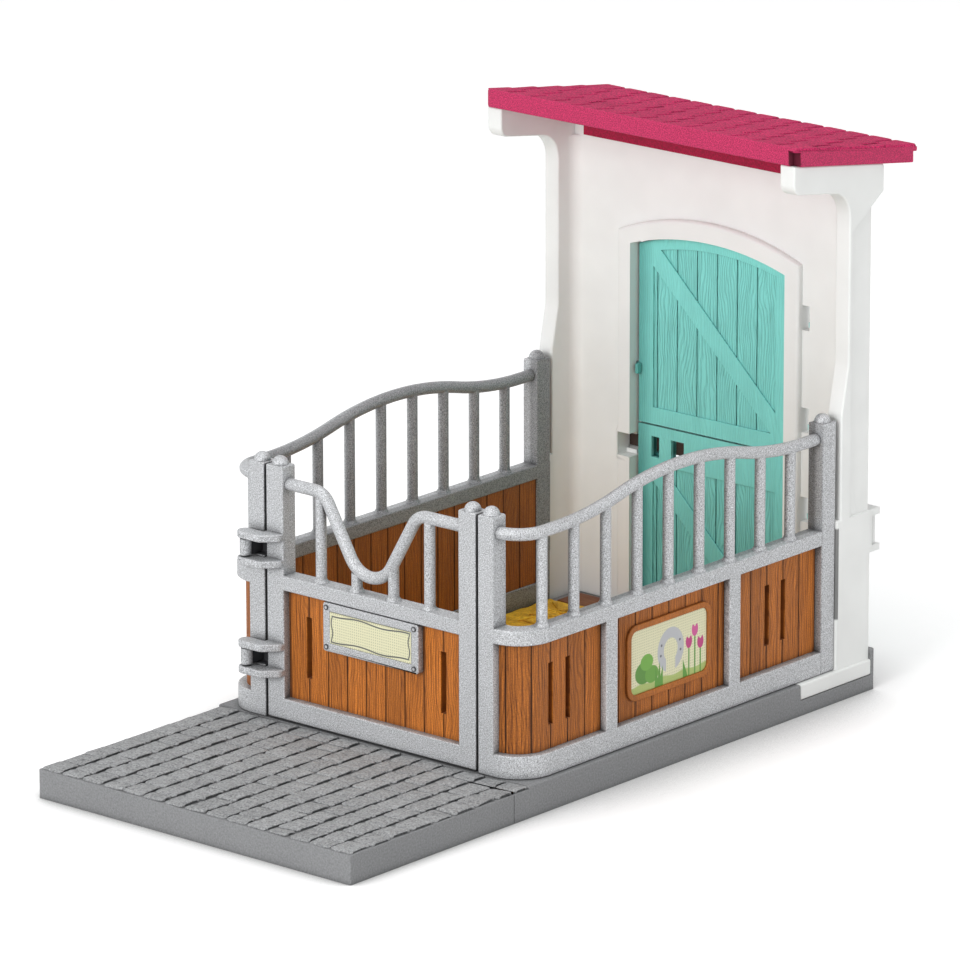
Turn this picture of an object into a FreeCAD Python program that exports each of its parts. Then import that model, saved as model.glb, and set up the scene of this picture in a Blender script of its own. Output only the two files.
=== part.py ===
import FreeCAD, Part
import math
import operator
import os
from types import SimpleNamespace

from FreeCAD import Placement, Rotation, Vector

os.makedirs("parts", exist_ok=True)

# Sizes in millimetres. Heights named ..._height or ..._up count from the top of the base.
SIZES = {
    # Base slabs
    "base_width": 140.0,
    "apron_depth": 82.6,
    "stall_depth": 194.8,
    "base_height": 11.2,
    "base_wall": 2.4,
    "base_skin": 2.6,
    "under_plate_height": 2.4,
    "under_plate_clearance": 0.15,
    "lip_depth": 1.9,
    "lip_height": 3.9,
    "lip_side": 11.1,
    "ledge_width": 10.0,
    "ledge_depth": 44.4,
    "tongue_width": 14.0,
    "tongue_depth": 7.0,
    "tongue_height": 4.0,
    "tongue_inset": 28.0,
    "tongue_clearance": 0.15,
    # Screws
    "shank_radius": 1.4,
    "shank_length": 5.6,
    "wall_shank_length": 11.0,
    "head_radius": 2.6,
    "head_height": 1.3,
    "head_sink": 0.1,
    "head_clearance": 0.3,
    "screw_clearance": 0.05,
    "driver_width": 0.9,
    "driver_length": 3.2,
    "driver_depth": 0.7,
    "boss_radius": 3.4,
    "boss_inset": 12.0,
    # Fences
    "fence_inset": 2.0,
    "fence_thickness": 6.6,
    "fence_setback": 7.0,
    "corner_radius": 13.3,
    "front_post_width": 6.8,
    "rear_post_depth": 7.3,
    "post_height": 90.5,
    "finial_radius": 2.9,
    "bottom_rail_height": 8.2,
    "panel_height": 38.6,
    "mid_rail_height": 5.3,
    "top_rail_up": 84.8,
    "top_rail_rise": 8.0,
    "top_rail_flat": 6.5,
    "rail_radius": 2.15,
    "baluster_radius": 1.9,
    "collar_radius": 2.7,
    "collar_height": 1.3,
    "divider_width": 6.0,
    "panel_recess": 3.0,
    "panel_thickness": 3.0,
    "slot_width": 2.5,
    "slot_margin": 8.4,
    "slot_pitch": 8.9,
    "front_slot_setback": 8.7,
    "picture_side": 7.4,
    "picture_edge": 5.8,
    "border_width": 2.2,
    "border_raise": 1.0,
    "border_radius": 5.0,
    "label_thickness": 0.3,
    # Gate
    "gate_gap": 1.0,
    "gate_lift": 0.7,
    "gate_post_width": 7.6,
    "gate_rail_up": 84.0,
    "dip_shift": 2.2,
    "dip_depth": 36.5,
    "dip_lip_radius": 7.0,
    "dip_bottom_radius": 10.5,
    "gate_slot_inset": 9.1,
    "plate_side": 17.9,
    "plate_height": 17.4,
    "plate_drop": 0.2,
    "label_margin": 3.2,
    "label_pocket": 0.4,
    "rivet_radius": 0.9,
    "rivet_head": 0.4,
    "rivet_shank_radius": 0.6,
    "rivet_length": 4.2,
    "rivet_inset": 1.7,
    # Gate hinges
    "hinge_inset": 1.7,
    "hinge_standoff": 4.0,
    "hinge_pin_radius": 1.25,
    "knuckle_radius": 2.7,
    "arm_thickness": 2.6,
    "arm_spread": 6.7,
    "arm_taper": 5.0,
    "upper_hinge_up": 61.0,
    "lower_hinge_up": 22.0,
    "hook_radius": 2.2,
    "hook_mouth": 2.0,
    "hook_web": 2.6,
    "hinge_end_gap": 0.3,
    "running_clearance": 0.05,
    "hinge_pocket_width": 4.8,
    "hinge_pocket_depth": 3.5,
    # Wall
    "wall_inset": 1.2,
    "wall_thickness": 3.7,
    "pillar_width": 6.4,
    "pillar_depth": 13.0,
    "lower_pillar_depth": 16.5,
    "plinth_depth": 18.5,
    "plinth_height": 54.3,
    "flare_low_up": 91.8,
    "flare_high_up": 108.8,
    "flare_radius": 14.0,
    "pillar_rib": 2.0,
    "pillar_side_recess": 1.0,
    "cove_radius": 4.0,
    "foot_sink": 5.7,
    "foot_width": 3.6,
    "foot_reach": 20.8,
    "foot_inset": 0.2,
    "foot_clearance": 0.2,
    "corbel_setback": 0.9,
    "corbel_height": 10.2,
    "corbel_back": 5.5,
    "corbel_chamfer": 3.7,
    "corbel_nose_radius": 4.0,
    "corbel_cove_radius": 10.0,
    "connector_up": 38.3,
    "connector_height": 15.5,
    "connector_reach": 7.0,
    "connector_flange": 2.4,
    "connector_root": 2.6,
    "connector_pin_radius": 1.3,
    "peg_radius": 1.8,
    "peg_height": 3.2,
    "peg_setback": 8.0,
    "peg_clearance": 0.15,
    # Doorway
    "door_width": 69.8,
    "door_spring": 134.5,
    "door_rise": 5.6,
    "architrave_raise": 2.6,
    "architrave_width": 6.0,
    "architrave_shoulder": 4.3,
    "architrave_crown": 7.0,
    "hinge_window_width": 3.2,
    "hinge_window_height": 9.0,
    "bolt_notch_width": 5.5,
    "bolt_notch_height": 8.6,
    # Roof
    "roof_inset": 0.1,
    "roof_depth": 68.1,
    "roof_overhang": 23.0,
    "roof_up": 186.0,
    "roof_fall": 11.0,
    "roof_thickness": 6.7,
    "roof_corner_radius": 4.0,
    "roof_notch": 3.0,
    "roof_notch_cover": 1.4,
    "roof_step_depth": 2.0,
    "roof_step_height": 4.0,
    "flange_thickness": 2.0,
    "flange_gap": 0.2,
    "flange_side": 5.4,
    "flange_drop": 9.2,
    # Door leaves
    "door_gap": 0.6,
    "leaf_lift": 0.7,
    "leaf_inset": 2.0,
    "leaf_thickness": 3.0,
    "member_raise": 0.6,
    "split_up": 68.1,
    "stile_width": 6.6,
    "top_rail_width": 4.0,
    "bottom_rail_width": 6.2,
    "lock_rail_width": 14.5,
    "brace_width": 9.8,
    "upper_brace_start": 7.2,
    "lower_brace_start": 10.7,
    "catch_rise": 20.1,
    "catch_height": 3.6,
    "catch_reach": 2.2,
    "catch_depth": 2.0,
    "catch_clearance": 0.5,
    "tab_inset": 0.3,
    "tab_width": 1.2,
    "tab_reach": 2.4,
    # Door hinges
    "door_hinge_out": 2.1,
    "door_hinge_back": 3.0,
    "door_pin_radius": 1.5,
    "clip_radius": 3.0,
    "clip_height": 6.0,
    "clip_mouth": 2.4,
    "clip_web": 5.0,
    "ear_radius": 2.6,
    "ear_thickness": 2.2,
    "ear_length": 9.0,
    "upper_leaf_hinge_inset": 14.7,
    "lower_leaf_high_hinge_inset": 17.8,
    "lower_leaf_low_hinge_inset": 13.8,
    # Door bolt
    "bolt_drop": 8.1,
    "bolt_height": 4.8,
    "bolt_thickness": 3.0,
    "bolt_gap": 0.2,
    "bolt_reach": 6.9,
    "bolt_length": 55.0,
    "knob_width": 5.0,
    "knob_reach": 4.0,
    "strap_width": 4.0,
    "strap_thickness": 1.6,
    "strap_clearance": 0.3,
    "bolt_window_inset": 6.0,
    "bolt_window_width": 3.5,
    "bolt_window_space": 5.5,
    "bolt_window_wide": 5.8,
    "bolt_window_height": 7.5,
    "keeper_width": 7.0,
    "keeper_cheek": 2.2,
    "keeper_clearance": 0.5,
    "keeper_depth": 5.0,
    "keeper_end_clearance": 1.8,
    # Floor
    "bedding_height": 1.2,
    "bedding_gap": 0.4,
    "sill_height": 0.8,
    # How far a cutting tool passes a face
    "overrun": 1.0,
}

BALUSTER_COUNT = 9
# Space left after the last baluster, as a share of the spacing.
BALUSTER_END_SHARE = 0.85
# Lengths of the rear and the middle panel, as shares of the straight side of a fence.
REAR_PANEL_SHARE = 0.304
MIDDLE_PANEL_SHARE = 0.409
# Places of the gate's balusters, as shares of the half opening between its posts.
GATE_BALUSTER_SHARES = (-0.63, -0.22, 0.20, 0.61)
# Height over run of the gate rail's slopes.
DIP_SLOPE_SHARE = 1.73
# Height over run of the door braces.
BRACE_SLOPE_SHARE = 0.97
# Places of the bolt's guides and knob along the bolt, from its tip.
STRAP_SHARES = (0.185, 0.53, 0.895)
KNOB_SHARE = 0.636

OPERATORS = {"+": operator.add, "-": operator.sub, "*": operator.mul, "/": operator.truediv}
AXES = {"x": Vector(1, 0, 0), "y": Vector(0, 1, 0), "z": Vector(0, 0, 1)}
UPRIGHT = AXES["z"]
# Points closer than this count as one.
TOUCHING = 1e-6


class Size:
    """A length, with the formula that ties it to the sheet."""

    def __init__(self, formula, value):
        self.formula = formula
        self.value = value

    def __float__(self):
        return float(self.value)

    def __neg__(self):
        return joined_size(0, "-", self)

    def __add__(self, other):
        return joined_size(self, "+", other)

    def __sub__(self, other):
        return joined_size(self, "-", other)

    def __mul__(self, other):
        return joined_size(self, "*", other)

    def __truediv__(self, other):
        return joined_size(self, "/", other)


def formula_of(size):
    """Gives the formula of a size, or a plain number as text."""
    return size.formula if isinstance(size, Size) else str(size)


def joined_size(left, sign, right):
    """Works out a size from two others."""
    formula = f"({formula_of(left)} {sign} {formula_of(right)})"
    return Size(formula, OPERATORS[sign](float(left), float(right)))


doc = FreeCAD.newDocument("toy_horse_stall")
sheet = doc.addObject("Spreadsheet::Sheet", "sizes")
for row, (alias, number) in enumerate(SIZES.items(), start=1):
    sheet.set(f"A{row}", str(number))
    sheet.setAlias(f"A{row}", alias)
doc.recompute()
size = SimpleNamespace(**{alias: Size(f"sizes.{alias}", sheet.get(alias)) for alias in SIZES})
sub_parts = []


# Drawing helpers

def bind(item, path, value):
    """Ties a property of an object to the sheet."""
    item.setExpression(path, formula_of(value))


def place(item, x, y, z):
    """Ties the place of an object to the sheet."""
    for axis, value in zip("xyz", (x, y, z)):
        bind(item, f"Placement.Base.{axis}", value)


def block(x, y, z):
    """Makes a box from a low and a high value along each axis."""
    item = doc.addObject("Part::Box", "block")
    place(item, x[0], y[0], z[0])
    for edge, (low, high) in zip(("Length", "Width", "Height"), (x, y, z)):
        bind(item, edge, joined_size(high, "-", low))
    return item


def rod(radius, x, y, z):
    """Makes a round bar along the axis that is given as a low and a high value."""
    item = doc.addObject("Part::Cylinder", "rod")
    ends = {axis: value for axis, value in zip("xyz", (x, y, z)) if isinstance(value, tuple)}
    (axis, (low, high)), = ends.items()
    item.Placement = Placement(Vector(), Rotation(UPRIGHT, AXES[axis]))
    place(item, *(value[0] if isinstance(value, tuple) else value for value in (x, y, z)))
    bind(item, "Radius", radius)
    bind(item, "Height", joined_size(high, "-", low))
    return item


def taper(low_radius, high_radius, x, y, z):
    """Makes an upright cone frustum."""
    item = doc.addObject("Part::Cone", "taper")
    place(item, x, y, z[0])
    bind(item, "Radius1", low_radius)
    bind(item, "Radius2", high_radius)
    bind(item, "Height", z[1] - z[0])
    return item


def ball(radius, x, y, z):
    """Makes a ball."""
    item = doc.addObject("Part::Sphere", "ball")
    place(item, x, y, z)
    bind(item, "Radius", radius)
    return item


def fuse(items):
    """Joins overlapping or touching pieces into one."""
    item = doc.addObject("Part::MultiFuse", "fused")
    item.Shapes = items
    item.Refine = True
    return item


def cut(base, tools):
    """Takes one or more tools away from a piece."""
    item = doc.addObject("Part::Cut", "cut")
    item.Base = base
    item.Tool = tools[0] if len(tools) == 1 else fuse(tools)
    item.Refine = True
    return item


def common(first, second):
    """Keeps what two pieces share."""
    item = doc.addObject("Part::Common", "common")
    item.Base = first
    item.Tool = second
    item.Refine = True
    return item


def group(items):
    """Keeps separate solids together as one sub-part."""
    item = doc.addObject("Part::Compound", "group")
    item.Links = items
    return item


def mirror(item):
    """Makes the mirror image of a piece on the other side of the stall."""
    image = doc.addObject("Part::Mirroring", "mirror")
    image.Source = item
    image.Normal = AXES["x"]
    return image


def flat_point(axis, along, across, up):
    """Turns a point of a flat outline into a point in space."""
    values = [float(across), float(up)]
    values.insert("xyz".index(axis), float(along))
    return Vector(*values)


def rounded_edges(corners, closed=True):
    """Joins corner points by straight runs, with an arc where a corner has a radius."""
    edges = []
    stops = []
    count = len(corners)
    for index, (point, radius) in enumerate(corners):
        inner = closed or 0 < index < count - 1
        if not inner or float(radius) == 0:
            stops.append((point, None, point))
            continue
        back = (corners[index - 1][0] - point).normalize()
        ahead = (corners[(index + 1) % count][0] - point).normalize()
        half_angle = back.getAngle(ahead) / 2
        reach = float(radius) / math.tan(half_angle)
        inward = (back + ahead).normalize()
        middle = point + inward * (float(radius) / math.sin(half_angle) - float(radius))
        stops.append((point + back * reach, middle, point + ahead * reach))
    for index, (start, middle, end) in enumerate(stops):
        if middle is not None:
            edges.append(Part.Arc(start, middle, end).toShape())
        if index + 1 == count and not closed:
            break
        following = stops[(index + 1) % count][0]
        if (following - end).Length > TOUCHING:
            edges.append(Part.makeLine(end, following))
    return edges


def prism(axis, low, high, edges):
    """Pulls a closed flat outline along an axis, from where it was drawn."""
    outline = doc.addObject("Part::Feature", "outline")
    outline.Shape = Part.Face(Part.Wire(edges))
    item = doc.addObject("Part::Extrusion", "prism")
    item.Base = outline
    item.DirMode = "Custom"
    item.Dir = AXES[axis]
    item.Solid = True
    bind(item, "LengthFwd", joined_size(high, "-", low))
    return item


def polygon(axis, low, high, corners):
    """Pulls a polygon along an axis; a corner is a place across, a place up and a radius."""
    points = [(flat_point(axis, low, across, up), radius) for across, up, radius in corners]
    return prism(axis, low, high, rounded_edges(points))


def pipe(radius, corners):
    """Bends a round bar along straight runs and arcs."""
    route = doc.addObject("Part::Feature", "route")
    route.Shape = Part.Wire(rounded_edges(corners, closed=False))
    ring = doc.addObject("Part::Circle", "ring")
    bind(ring, "Radius", radius)
    start = corners[0][0]
    ring.Placement = Placement(start, Rotation(UPRIGHT, corners[1][0] - start))
    item = doc.addObject("Part::Sweep", "pipe")
    item.Sections = [ring]
    item.Spine = (route, [])
    item.Solid = True
    return item


def arch(low, high, half_width, foot, spring, rise):
    """Pulls a doorway's outline, straight sides under a flat arch, along the depth."""
    left_foot = flat_point("y", low, -half_width, foot)
    right_foot = flat_point("y", low, half_width, foot)
    left_spring = flat_point("y", low, -half_width, spring)
    right_spring = flat_point("y", low, half_width, spring)
    crown = flat_point("y", low, 0, spring + rise)
    edges = [
        Part.makeLine(left_foot, right_foot),
        Part.makeLine(right_foot, right_spring),
        Part.Arc(right_spring, crown, left_spring).toShape(),
        Part.makeLine(left_spring, left_foot),
    ]
    return prism("y", low, high, edges)


def snap_ring(outer, bore, mouth, x, y, z, towards):
    """Makes a ring that grips a pin, with a mouth on one side."""
    ring = cut(rod(outer, x, y, z), [rod(bore, x, y, z)])
    gap = doc.addObject("Part::Box", "mouth")
    turn = Rotation(AXES["x"], Vector(*towards))
    offset = turn.multVec(Vector(0, -float(mouth) / 2, 0))
    gap.Placement = Placement(Vector(), turn)
    place(gap, x + offset.x, y + offset.y, z[0])
    bind(gap, "Length", outer + size.overrun)
    bind(gap, "Width", mouth)
    bind(gap, "Height", z[1] - z[0])
    return cut(ring, [gap])


def finish(item, label):
    """Names a finished sub-part."""
    item.Label = label
    sub_parts.append(item)
    return item


# Places that several pieces share

half_depth = (size.apron_depth + size.stall_depth - size.lip_depth + size.roof_overhang) / 2
half_base = size.base_width / 2
floor = size.base_height
apron_front = -half_depth
apron_back = apron_front + size.apron_depth
base_back = apron_back + size.stall_depth
wall_back = base_back - size.lip_depth
wall_front = wall_back - size.wall_thickness
architrave_front = wall_front - size.architrave_raise
plinth_front = wall_back - size.plinth_depth
pillar_outer = half_base - size.wall_inset
pillar_inner = pillar_outer - size.pillar_width
ledge_front = base_back - size.ledge_depth
foot_bottom = floor - size.foot_sink
foot_outer = half_base - size.foot_inset

fence_outer = half_base - size.fence_inset
fence_inner = fence_outer - size.fence_thickness
fence_front = apron_back + size.fence_setback
fence_back = fence_front + size.fence_thickness
corner_x = fence_outer - size.corner_radius
corner_y = fence_front + size.corner_radius
rear_post_front = plinth_front - size.rear_post_depth
panel_bottom = floor + size.bottom_rail_height
panel_top = panel_bottom + size.panel_height
mid_rail_top = panel_top + size.mid_rail_height
post_top = floor + size.post_height
panel_outer = fence_outer - size.panel_recess
panel_inner = panel_outer - size.panel_thickness
side_length = rear_post_front - corner_y
rear_divider_back = rear_post_front - side_length * REAR_PANEL_SHARE
middle_panel_back = rear_divider_back - size.divider_width
middle_panel_front = middle_panel_back - side_length * MIDDLE_PANEL_SHARE
middle_panel_centre = (middle_panel_front + middle_panel_back) / 2
panel_middle = (panel_bottom + panel_top) / 2

gate_half = corner_x - size.front_post_width - size.gate_gap
gate_opening = gate_half - size.gate_post_width
gate_bottom = floor + size.gate_lift
gate_panel_front = fence_front + size.panel_recess
gate_panel_back = gate_panel_front + size.panel_thickness
gate_hinge_x = size.hinge_inset - corner_x
gate_hinge_y = fence_front - size.hinge_standoff
gate_hinge_heights = (floor + size.upper_hinge_up, floor + size.lower_hinge_up)

roof_back = wall_back + size.roof_overhang
roof_front = roof_back - size.roof_depth
half_roof = half_base - size.roof_inset

half_door = size.door_width / 2
door_spring = floor + size.door_spring
leaf_half = half_door - size.door_gap
leaf_front = wall_back - size.leaf_inset
leaf_back = leaf_front + size.leaf_thickness
leaf_bottom = floor + size.leaf_lift
split = floor + size.split_up
door_hinge_x = half_door + size.door_hinge_out
door_hinge_y = wall_back + size.door_hinge_back
upper_leaf_hinges = (door_spring - size.upper_leaf_hinge_inset, split + size.upper_leaf_hinge_inset)
lower_leaf_hinges = (split - size.lower_leaf_high_hinge_inset, floor + size.lower_leaf_low_hinge_inset)

catch_middle = split + size.catch_rise

bolt_middle = split - size.bolt_drop
bolt_bottom = bolt_middle - size.bolt_height / 2
bolt_top = bolt_middle + size.bolt_height / 2
bolt_front = leaf_back + size.bolt_gap
bolt_back = bolt_front + size.bolt_thickness
bolt_tip = -leaf_half - size.bolt_reach


def roof_underside(y):
    """Gives the height of the roof's lower face at a depth."""
    return floor + size.roof_up - (y - roof_front) * size.roof_fall / size.roof_depth


def both_sides(x):
    """Gives a place on the right and on the left."""
    return (x, -x)


# Base

def boss_places(front, back):
    """Lists where the screws of a base slab stand."""
    x = half_base - size.boss_inset
    return [(side, y) for y in (front + size.boss_inset, back - size.boss_inset) for side in both_sides(x)]


def slab_shell(front, back):
    """Makes a hollow slab, open below, with screw bosses under its top."""
    inside_top = floor - size.base_skin
    shell = cut(
        block((-half_base, half_base), (front, back), (0, floor)),
        [block((size.base_wall - half_base, half_base - size.base_wall),
               (front + size.base_wall, back - size.base_wall), (-size.overrun, inside_top))],
    )
    return shell, inside_top


def bosses(places, inside_top):
    """Makes the screw bosses and the holes in them."""
    reach = (size.under_plate_height, inside_top + size.overrun)
    posts = [rod(size.boss_radius, x, y, reach) for x, y in places]
    hole = size.shank_radius + size.screw_clearance
    holes = [rod(hole, x, y, (0, head_seat + size.shank_length + size.screw_clearance)) for x, y in places]
    return posts, holes


def tongue_blocks(clearance, front, back):
    """Makes the tongues that join the two slabs, or the slots that take them."""
    tongues = []
    for x in both_sides(half_base - size.tongue_inset):
        width = size.tongue_width / 2 + clearance
        middle = (floor - size.base_skin + size.under_plate_height) / 2
        height = size.tongue_height / 2 + clearance
        tongues.append(block((x - width, x + width), (front, back), (middle - height, middle + height)))
    return tongues


head_seat = size.head_sink + size.head_height
apron_bosses = boss_places(apron_front, apron_back)
stall_bosses = boss_places(apron_back, ledge_front)
wall_screw_x = (pillar_inner + pillar_outer) / 2
wall_screw_y = (plinth_front + wall_back) / 2
wall_screws = [(x, wall_screw_y) for x in both_sides(wall_screw_x)]


def front_apron():
    """The paved slab in front of the stall."""
    shell, inside_top = slab_shell(apron_front, apron_back)
    posts, holes = bosses(apron_bosses, inside_top)
    tongues = tongue_blocks(0, apron_back - size.base_wall, apron_back + size.tongue_depth)
    return cut(fuse([shell] + posts + tongues), holes)


def stall_base():
    """The slab that carries the fences and the wall, with an upstand behind the wall."""
    shell, inside_top = slab_shell(apron_back, base_back)
    posts, holes = bosses(stall_bosses, inside_top)
    added = [shell] + posts
    removed = list(holes)
    inner = half_base - size.ledge_width
    half_gap = half_door + size.lip_side
    lip = block((half_gap, half_base), (wall_back, base_back), (inside_top, floor + size.lip_height))
    ledge = block((inner, half_base), (ledge_front, base_back), (0, floor))
    added += [ledge, mirror(ledge), lip, mirror(lip)]
    step_up = (foot_bottom, floor + size.overrun)
    pillar_step = block(
        (pillar_inner - size.foot_clearance, half_base + size.overrun),
        (plinth_front - size.foot_clearance, wall_back),
        step_up,
    )
    foot_step = block(
        (foot_outer - size.foot_width - size.foot_clearance, half_base + size.overrun),
        (plinth_front - size.foot_reach, plinth_front),
        step_up,
    )
    removed += [pillar_step, mirror(pillar_step), foot_step, mirror(foot_step)]
    tongue_end = apron_back + size.tongue_depth
    removed += tongue_blocks(size.tongue_clearance, apron_back - size.overrun, tongue_end)
    for x, y in wall_screws:
        removed.append(rod(size.shank_radius + size.head_clearance, x, y, (0, floor)))
        removed.append(rod(size.head_radius + size.head_clearance, x, y, (-size.overrun, head_seat)))
    return cut(fuse(added), removed)


def under_plate(front, back, places):
    """Makes the plate that closes a slab from below."""
    side = half_base - size.base_wall - size.under_plate_clearance
    low = front + size.base_wall + size.under_plate_clearance
    high = back - size.base_wall - size.under_plate_clearance
    plate = block((-side, side), (low, high), (0, size.under_plate_height))
    tools = []
    through = (0, size.under_plate_height + size.overrun)
    for x, y in places:
        tools.append(rod(size.shank_radius + size.head_clearance, x, y, through))
        tools.append(rod(size.head_radius + size.head_clearance, x, y, (-size.overrun, head_seat)))
    return plate, tools


def apron_under_plate():
    """The plate under the apron."""
    plate, tools = under_plate(apron_front, apron_back, apron_bosses)
    return cut(plate, tools)


def stall_under_plate():
    """The plate under the stall, cut away at the ledges that carry the wall."""
    plate, tools = under_plate(apron_back, base_back, stall_bosses)
    inner = half_base - size.ledge_width - size.under_plate_clearance
    corner = block(
        (inner, half_base),
        (ledge_front - size.under_plate_clearance, base_back),
        (-size.overrun, size.under_plate_height + size.overrun),
    )
    return cut(plate, tools + [corner, mirror(corner)])


def screw(x, y, shank_length):
    """Makes a pan head screw that stands head down, with a cross recess."""
    body = fuse([
        rod(size.head_radius, x, y, (size.head_sink, head_seat)),
        rod(size.shank_radius, x, y, (head_seat, head_seat + shank_length)),
    ])
    width = size.driver_width / 2
    length = size.driver_length / 2
    depth = (size.head_sink - size.overrun, size.head_sink + size.driver_depth)
    along = block((x - length, x + length), (y - width, y + width), depth)
    across = block((x - width, x + width), (y - length, y + length), depth)
    return cut(body, [along, across])


# Fences

def corner_run(outer, inner, z):
    """Makes a rail or panel that turns round the front corner and runs to the rear post."""
    bend = doc.addObject("Part::Cylinder", "bend")
    bend.Angle = 90
    bend.Placement = Placement(Vector(), Rotation(UPRIGHT, -90))
    place(bend, corner_x, corner_y, z[0])
    bind(bend, "Radius", outer - corner_x)
    bind(bend, "Height", z[1] - z[0])
    bend = cut(bend, [rod(inner - corner_x, corner_x, corner_y, z)])
    straight = block((inner, outer), (corner_y, rear_post_front), z)
    return fuse([bend, straight])


top_rail_middle = floor + size.top_rail_up
top_rail_x = (fence_outer + fence_inner) / 2
top_rail_crest_y = (corner_y + rear_post_front) / 2
top_rail_half_span = side_length / 2 - size.top_rail_flat
# Radius of the two equal arcs that make each half of the wave.
top_rail_bend = (top_rail_half_span * top_rail_half_span / size.top_rail_rise + size.top_rail_rise) / 4


def top_rail_height(y):
    """Gives the height of the rail's middle at a depth."""
    away = y - top_rail_crest_y
    if abs(float(away)) > float(top_rail_half_span):
        return top_rail_middle
    if abs(float(away)) < float(top_rail_half_span) / 2:
        return top_rail_middle + size.top_rail_rise - away * away / (top_rail_bend * 2)
    left = top_rail_half_span - (away if float(away) > 0 else -away)
    return top_rail_middle + left * left / (top_rail_bend * 2)


def top_rail():
    """The waved round rail on a side fence."""
    turn = 2 * math.atan2(float(size.top_rail_rise), float(top_rail_half_span))
    tangent = float(top_rail_bend) * math.tan(turn / 2)
    apex = float(top_rail_middle) + (float(top_rail_half_span) - tangent) * math.tan(turn)
    middle = (fence_front + fence_back) / 2
    foot = float(top_rail_half_span) - tangent
    # A little less than the full radius leaves a short straight run where two arcs meet.
    bend = float(top_rail_bend) * 0.98
    x = float(top_rail_x)
    z = float(top_rail_middle)
    crest = float(top_rail_crest_y)
    return pipe(size.rail_radius, [
        (Vector(float(corner_x), float(middle), z), 0),
        (Vector(x, float(middle), z), top_rail_x - corner_x),
        (Vector(x, crest - foot, z), bend),
        (Vector(x, crest, apex), bend),
        (Vector(x, crest + foot, z), bend),
        (Vector(x, float(rear_post_front), z), 0),
    ])


def baluster(x, y, top):
    """Makes a round bar on the middle rail, with a collar at its foot."""
    collar = (mid_rail_top, mid_rail_top + size.collar_height)
    return [
        rod(size.baluster_radius, x, y, (mid_rail_top, top)),
        taper(size.collar_radius, size.baluster_radius, x, y, collar),
    ]


def post(x, y, bottom):
    """Makes a square post with a ball on top."""
    return [
        block(x, y, (bottom, post_top)),
        ball(size.finial_radius, (x[0] + x[1]) / 2, (y[0] + y[1]) / 2, post_top),
    ]


def fence_frame():
    """The grey frame of the right side fence, in one moulding."""
    pieces = post((corner_x - size.front_post_width, corner_x), (fence_front, fence_back), floor)
    pieces += post((fence_inner, fence_outer), (rear_post_front, plinth_front), floor)
    pieces.append(corner_run(fence_outer, fence_inner, (floor, panel_bottom)))
    pieces.append(corner_run(fence_outer, fence_inner, (panel_top, mid_rail_top)))
    for back in (middle_panel_front, rear_divider_back):
        width = (back - size.divider_width, back)
        pieces.append(block((panel_outer, fence_outer), width, (panel_bottom, panel_top)))
    pieces.append(top_rail())
    spacing = side_length / (BALUSTER_COUNT - 1 + BALUSTER_END_SHARE)
    for index in range(BALUSTER_COUNT):
        y = corner_y + spacing * index
        pieces += baluster(top_rail_x, y, top_rail_height(y))
    return fuse(pieces)


def hinge_span(height):
    """Gives the heights of the two hinge arms around a hinge's middle."""
    inside = size.arm_spread / 2
    outside = inside + size.arm_thickness
    return (height - outside, height - inside), (height + inside, height + outside)


def hinged_fence_frame(frame):
    """The left side fence: the mirror image, with the hooks that hold the gate."""
    hooks = []
    pockets = []
    for height in gate_hinge_heights:
        low_arm, high_arm = hinge_span(height)
        z = (low_arm[1] + size.hinge_end_gap, high_arm[0] - size.hinge_end_gap)
        bore = size.hinge_pin_radius + size.running_clearance
        web = block(
            (gate_hinge_x - size.hook_web / 2, gate_hinge_x + size.hook_web / 2),
            (gate_hinge_y + size.hinge_pin_radius + size.running_clearance, fence_back),
            z,
        )
        mouth = (-1, -1, 0)
        ring = snap_ring(size.hook_radius, bore, size.hook_mouth, gate_hinge_x, gate_hinge_y, z, mouth)
        hooks.append(cut(fuse([ring, web]), [rod(bore, gate_hinge_x, gate_hinge_y, z)]))
        middle = size.front_post_width / 2 - corner_x
        pockets.append(block(
            (middle - size.hinge_pocket_width / 2, size.front_post_width - corner_x + size.overrun),
            (fence_front - size.overrun, fence_front + size.hinge_pocket_depth),
            (low_arm[1], high_arm[0]),
        ))
    return fuse([cut(mirror(frame), pockets)] + hooks)


def upright_slot(x, y):
    """Makes the tool for a narrow upright slot in a panel."""
    return block(x, y, (panel_bottom + size.slot_margin, panel_top - size.slot_margin))


def picture_outline(x, inset):
    """Makes the rounded field of the picture on a side panel, inset from its border."""
    length = side_length * MIDDLE_PANEL_SHARE / 2 - size.picture_side - inset
    height = size.panel_height / 2 - size.picture_edge - inset
    radius = size.border_radius - inset
    return polygon("x", x[0], x[1], [
        (middle_panel_centre - length, panel_middle - height, radius),
        (middle_panel_centre + length, panel_middle - height, radius),
        (middle_panel_centre + length, panel_middle + height, radius),
        (middle_panel_centre - length, panel_middle + height, radius),
    ])


def wood_panel():
    """The brown planked insert of the right side fence, with the border of its picture."""
    panel = corner_run(panel_outer, panel_inner, (panel_bottom, panel_top))
    face = (panel_outer, panel_outer + size.border_raise)
    border = cut(picture_outline(face, 0), [picture_outline(face, size.border_width)])
    rear_middle = (rear_divider_back + rear_post_front) / 2
    front_middle = corner_y + size.front_slot_setback
    slots = []
    for middle in (front_middle, rear_middle):
        for y in (middle - size.slot_pitch / 2, middle + size.slot_pitch / 2):
            slots.append(upright_slot(
                (panel_inner - size.overrun, panel_outer + size.overrun),
                (y - size.slot_width / 2, y + size.slot_width / 2),
            ))
    return fuse([cut(panel, slots), border])


def picture_label():
    """The printed sheet inside the border of the right side panel."""
    return picture_outline((panel_outer, panel_outer + size.label_thickness), size.border_width)


# Gate

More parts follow.
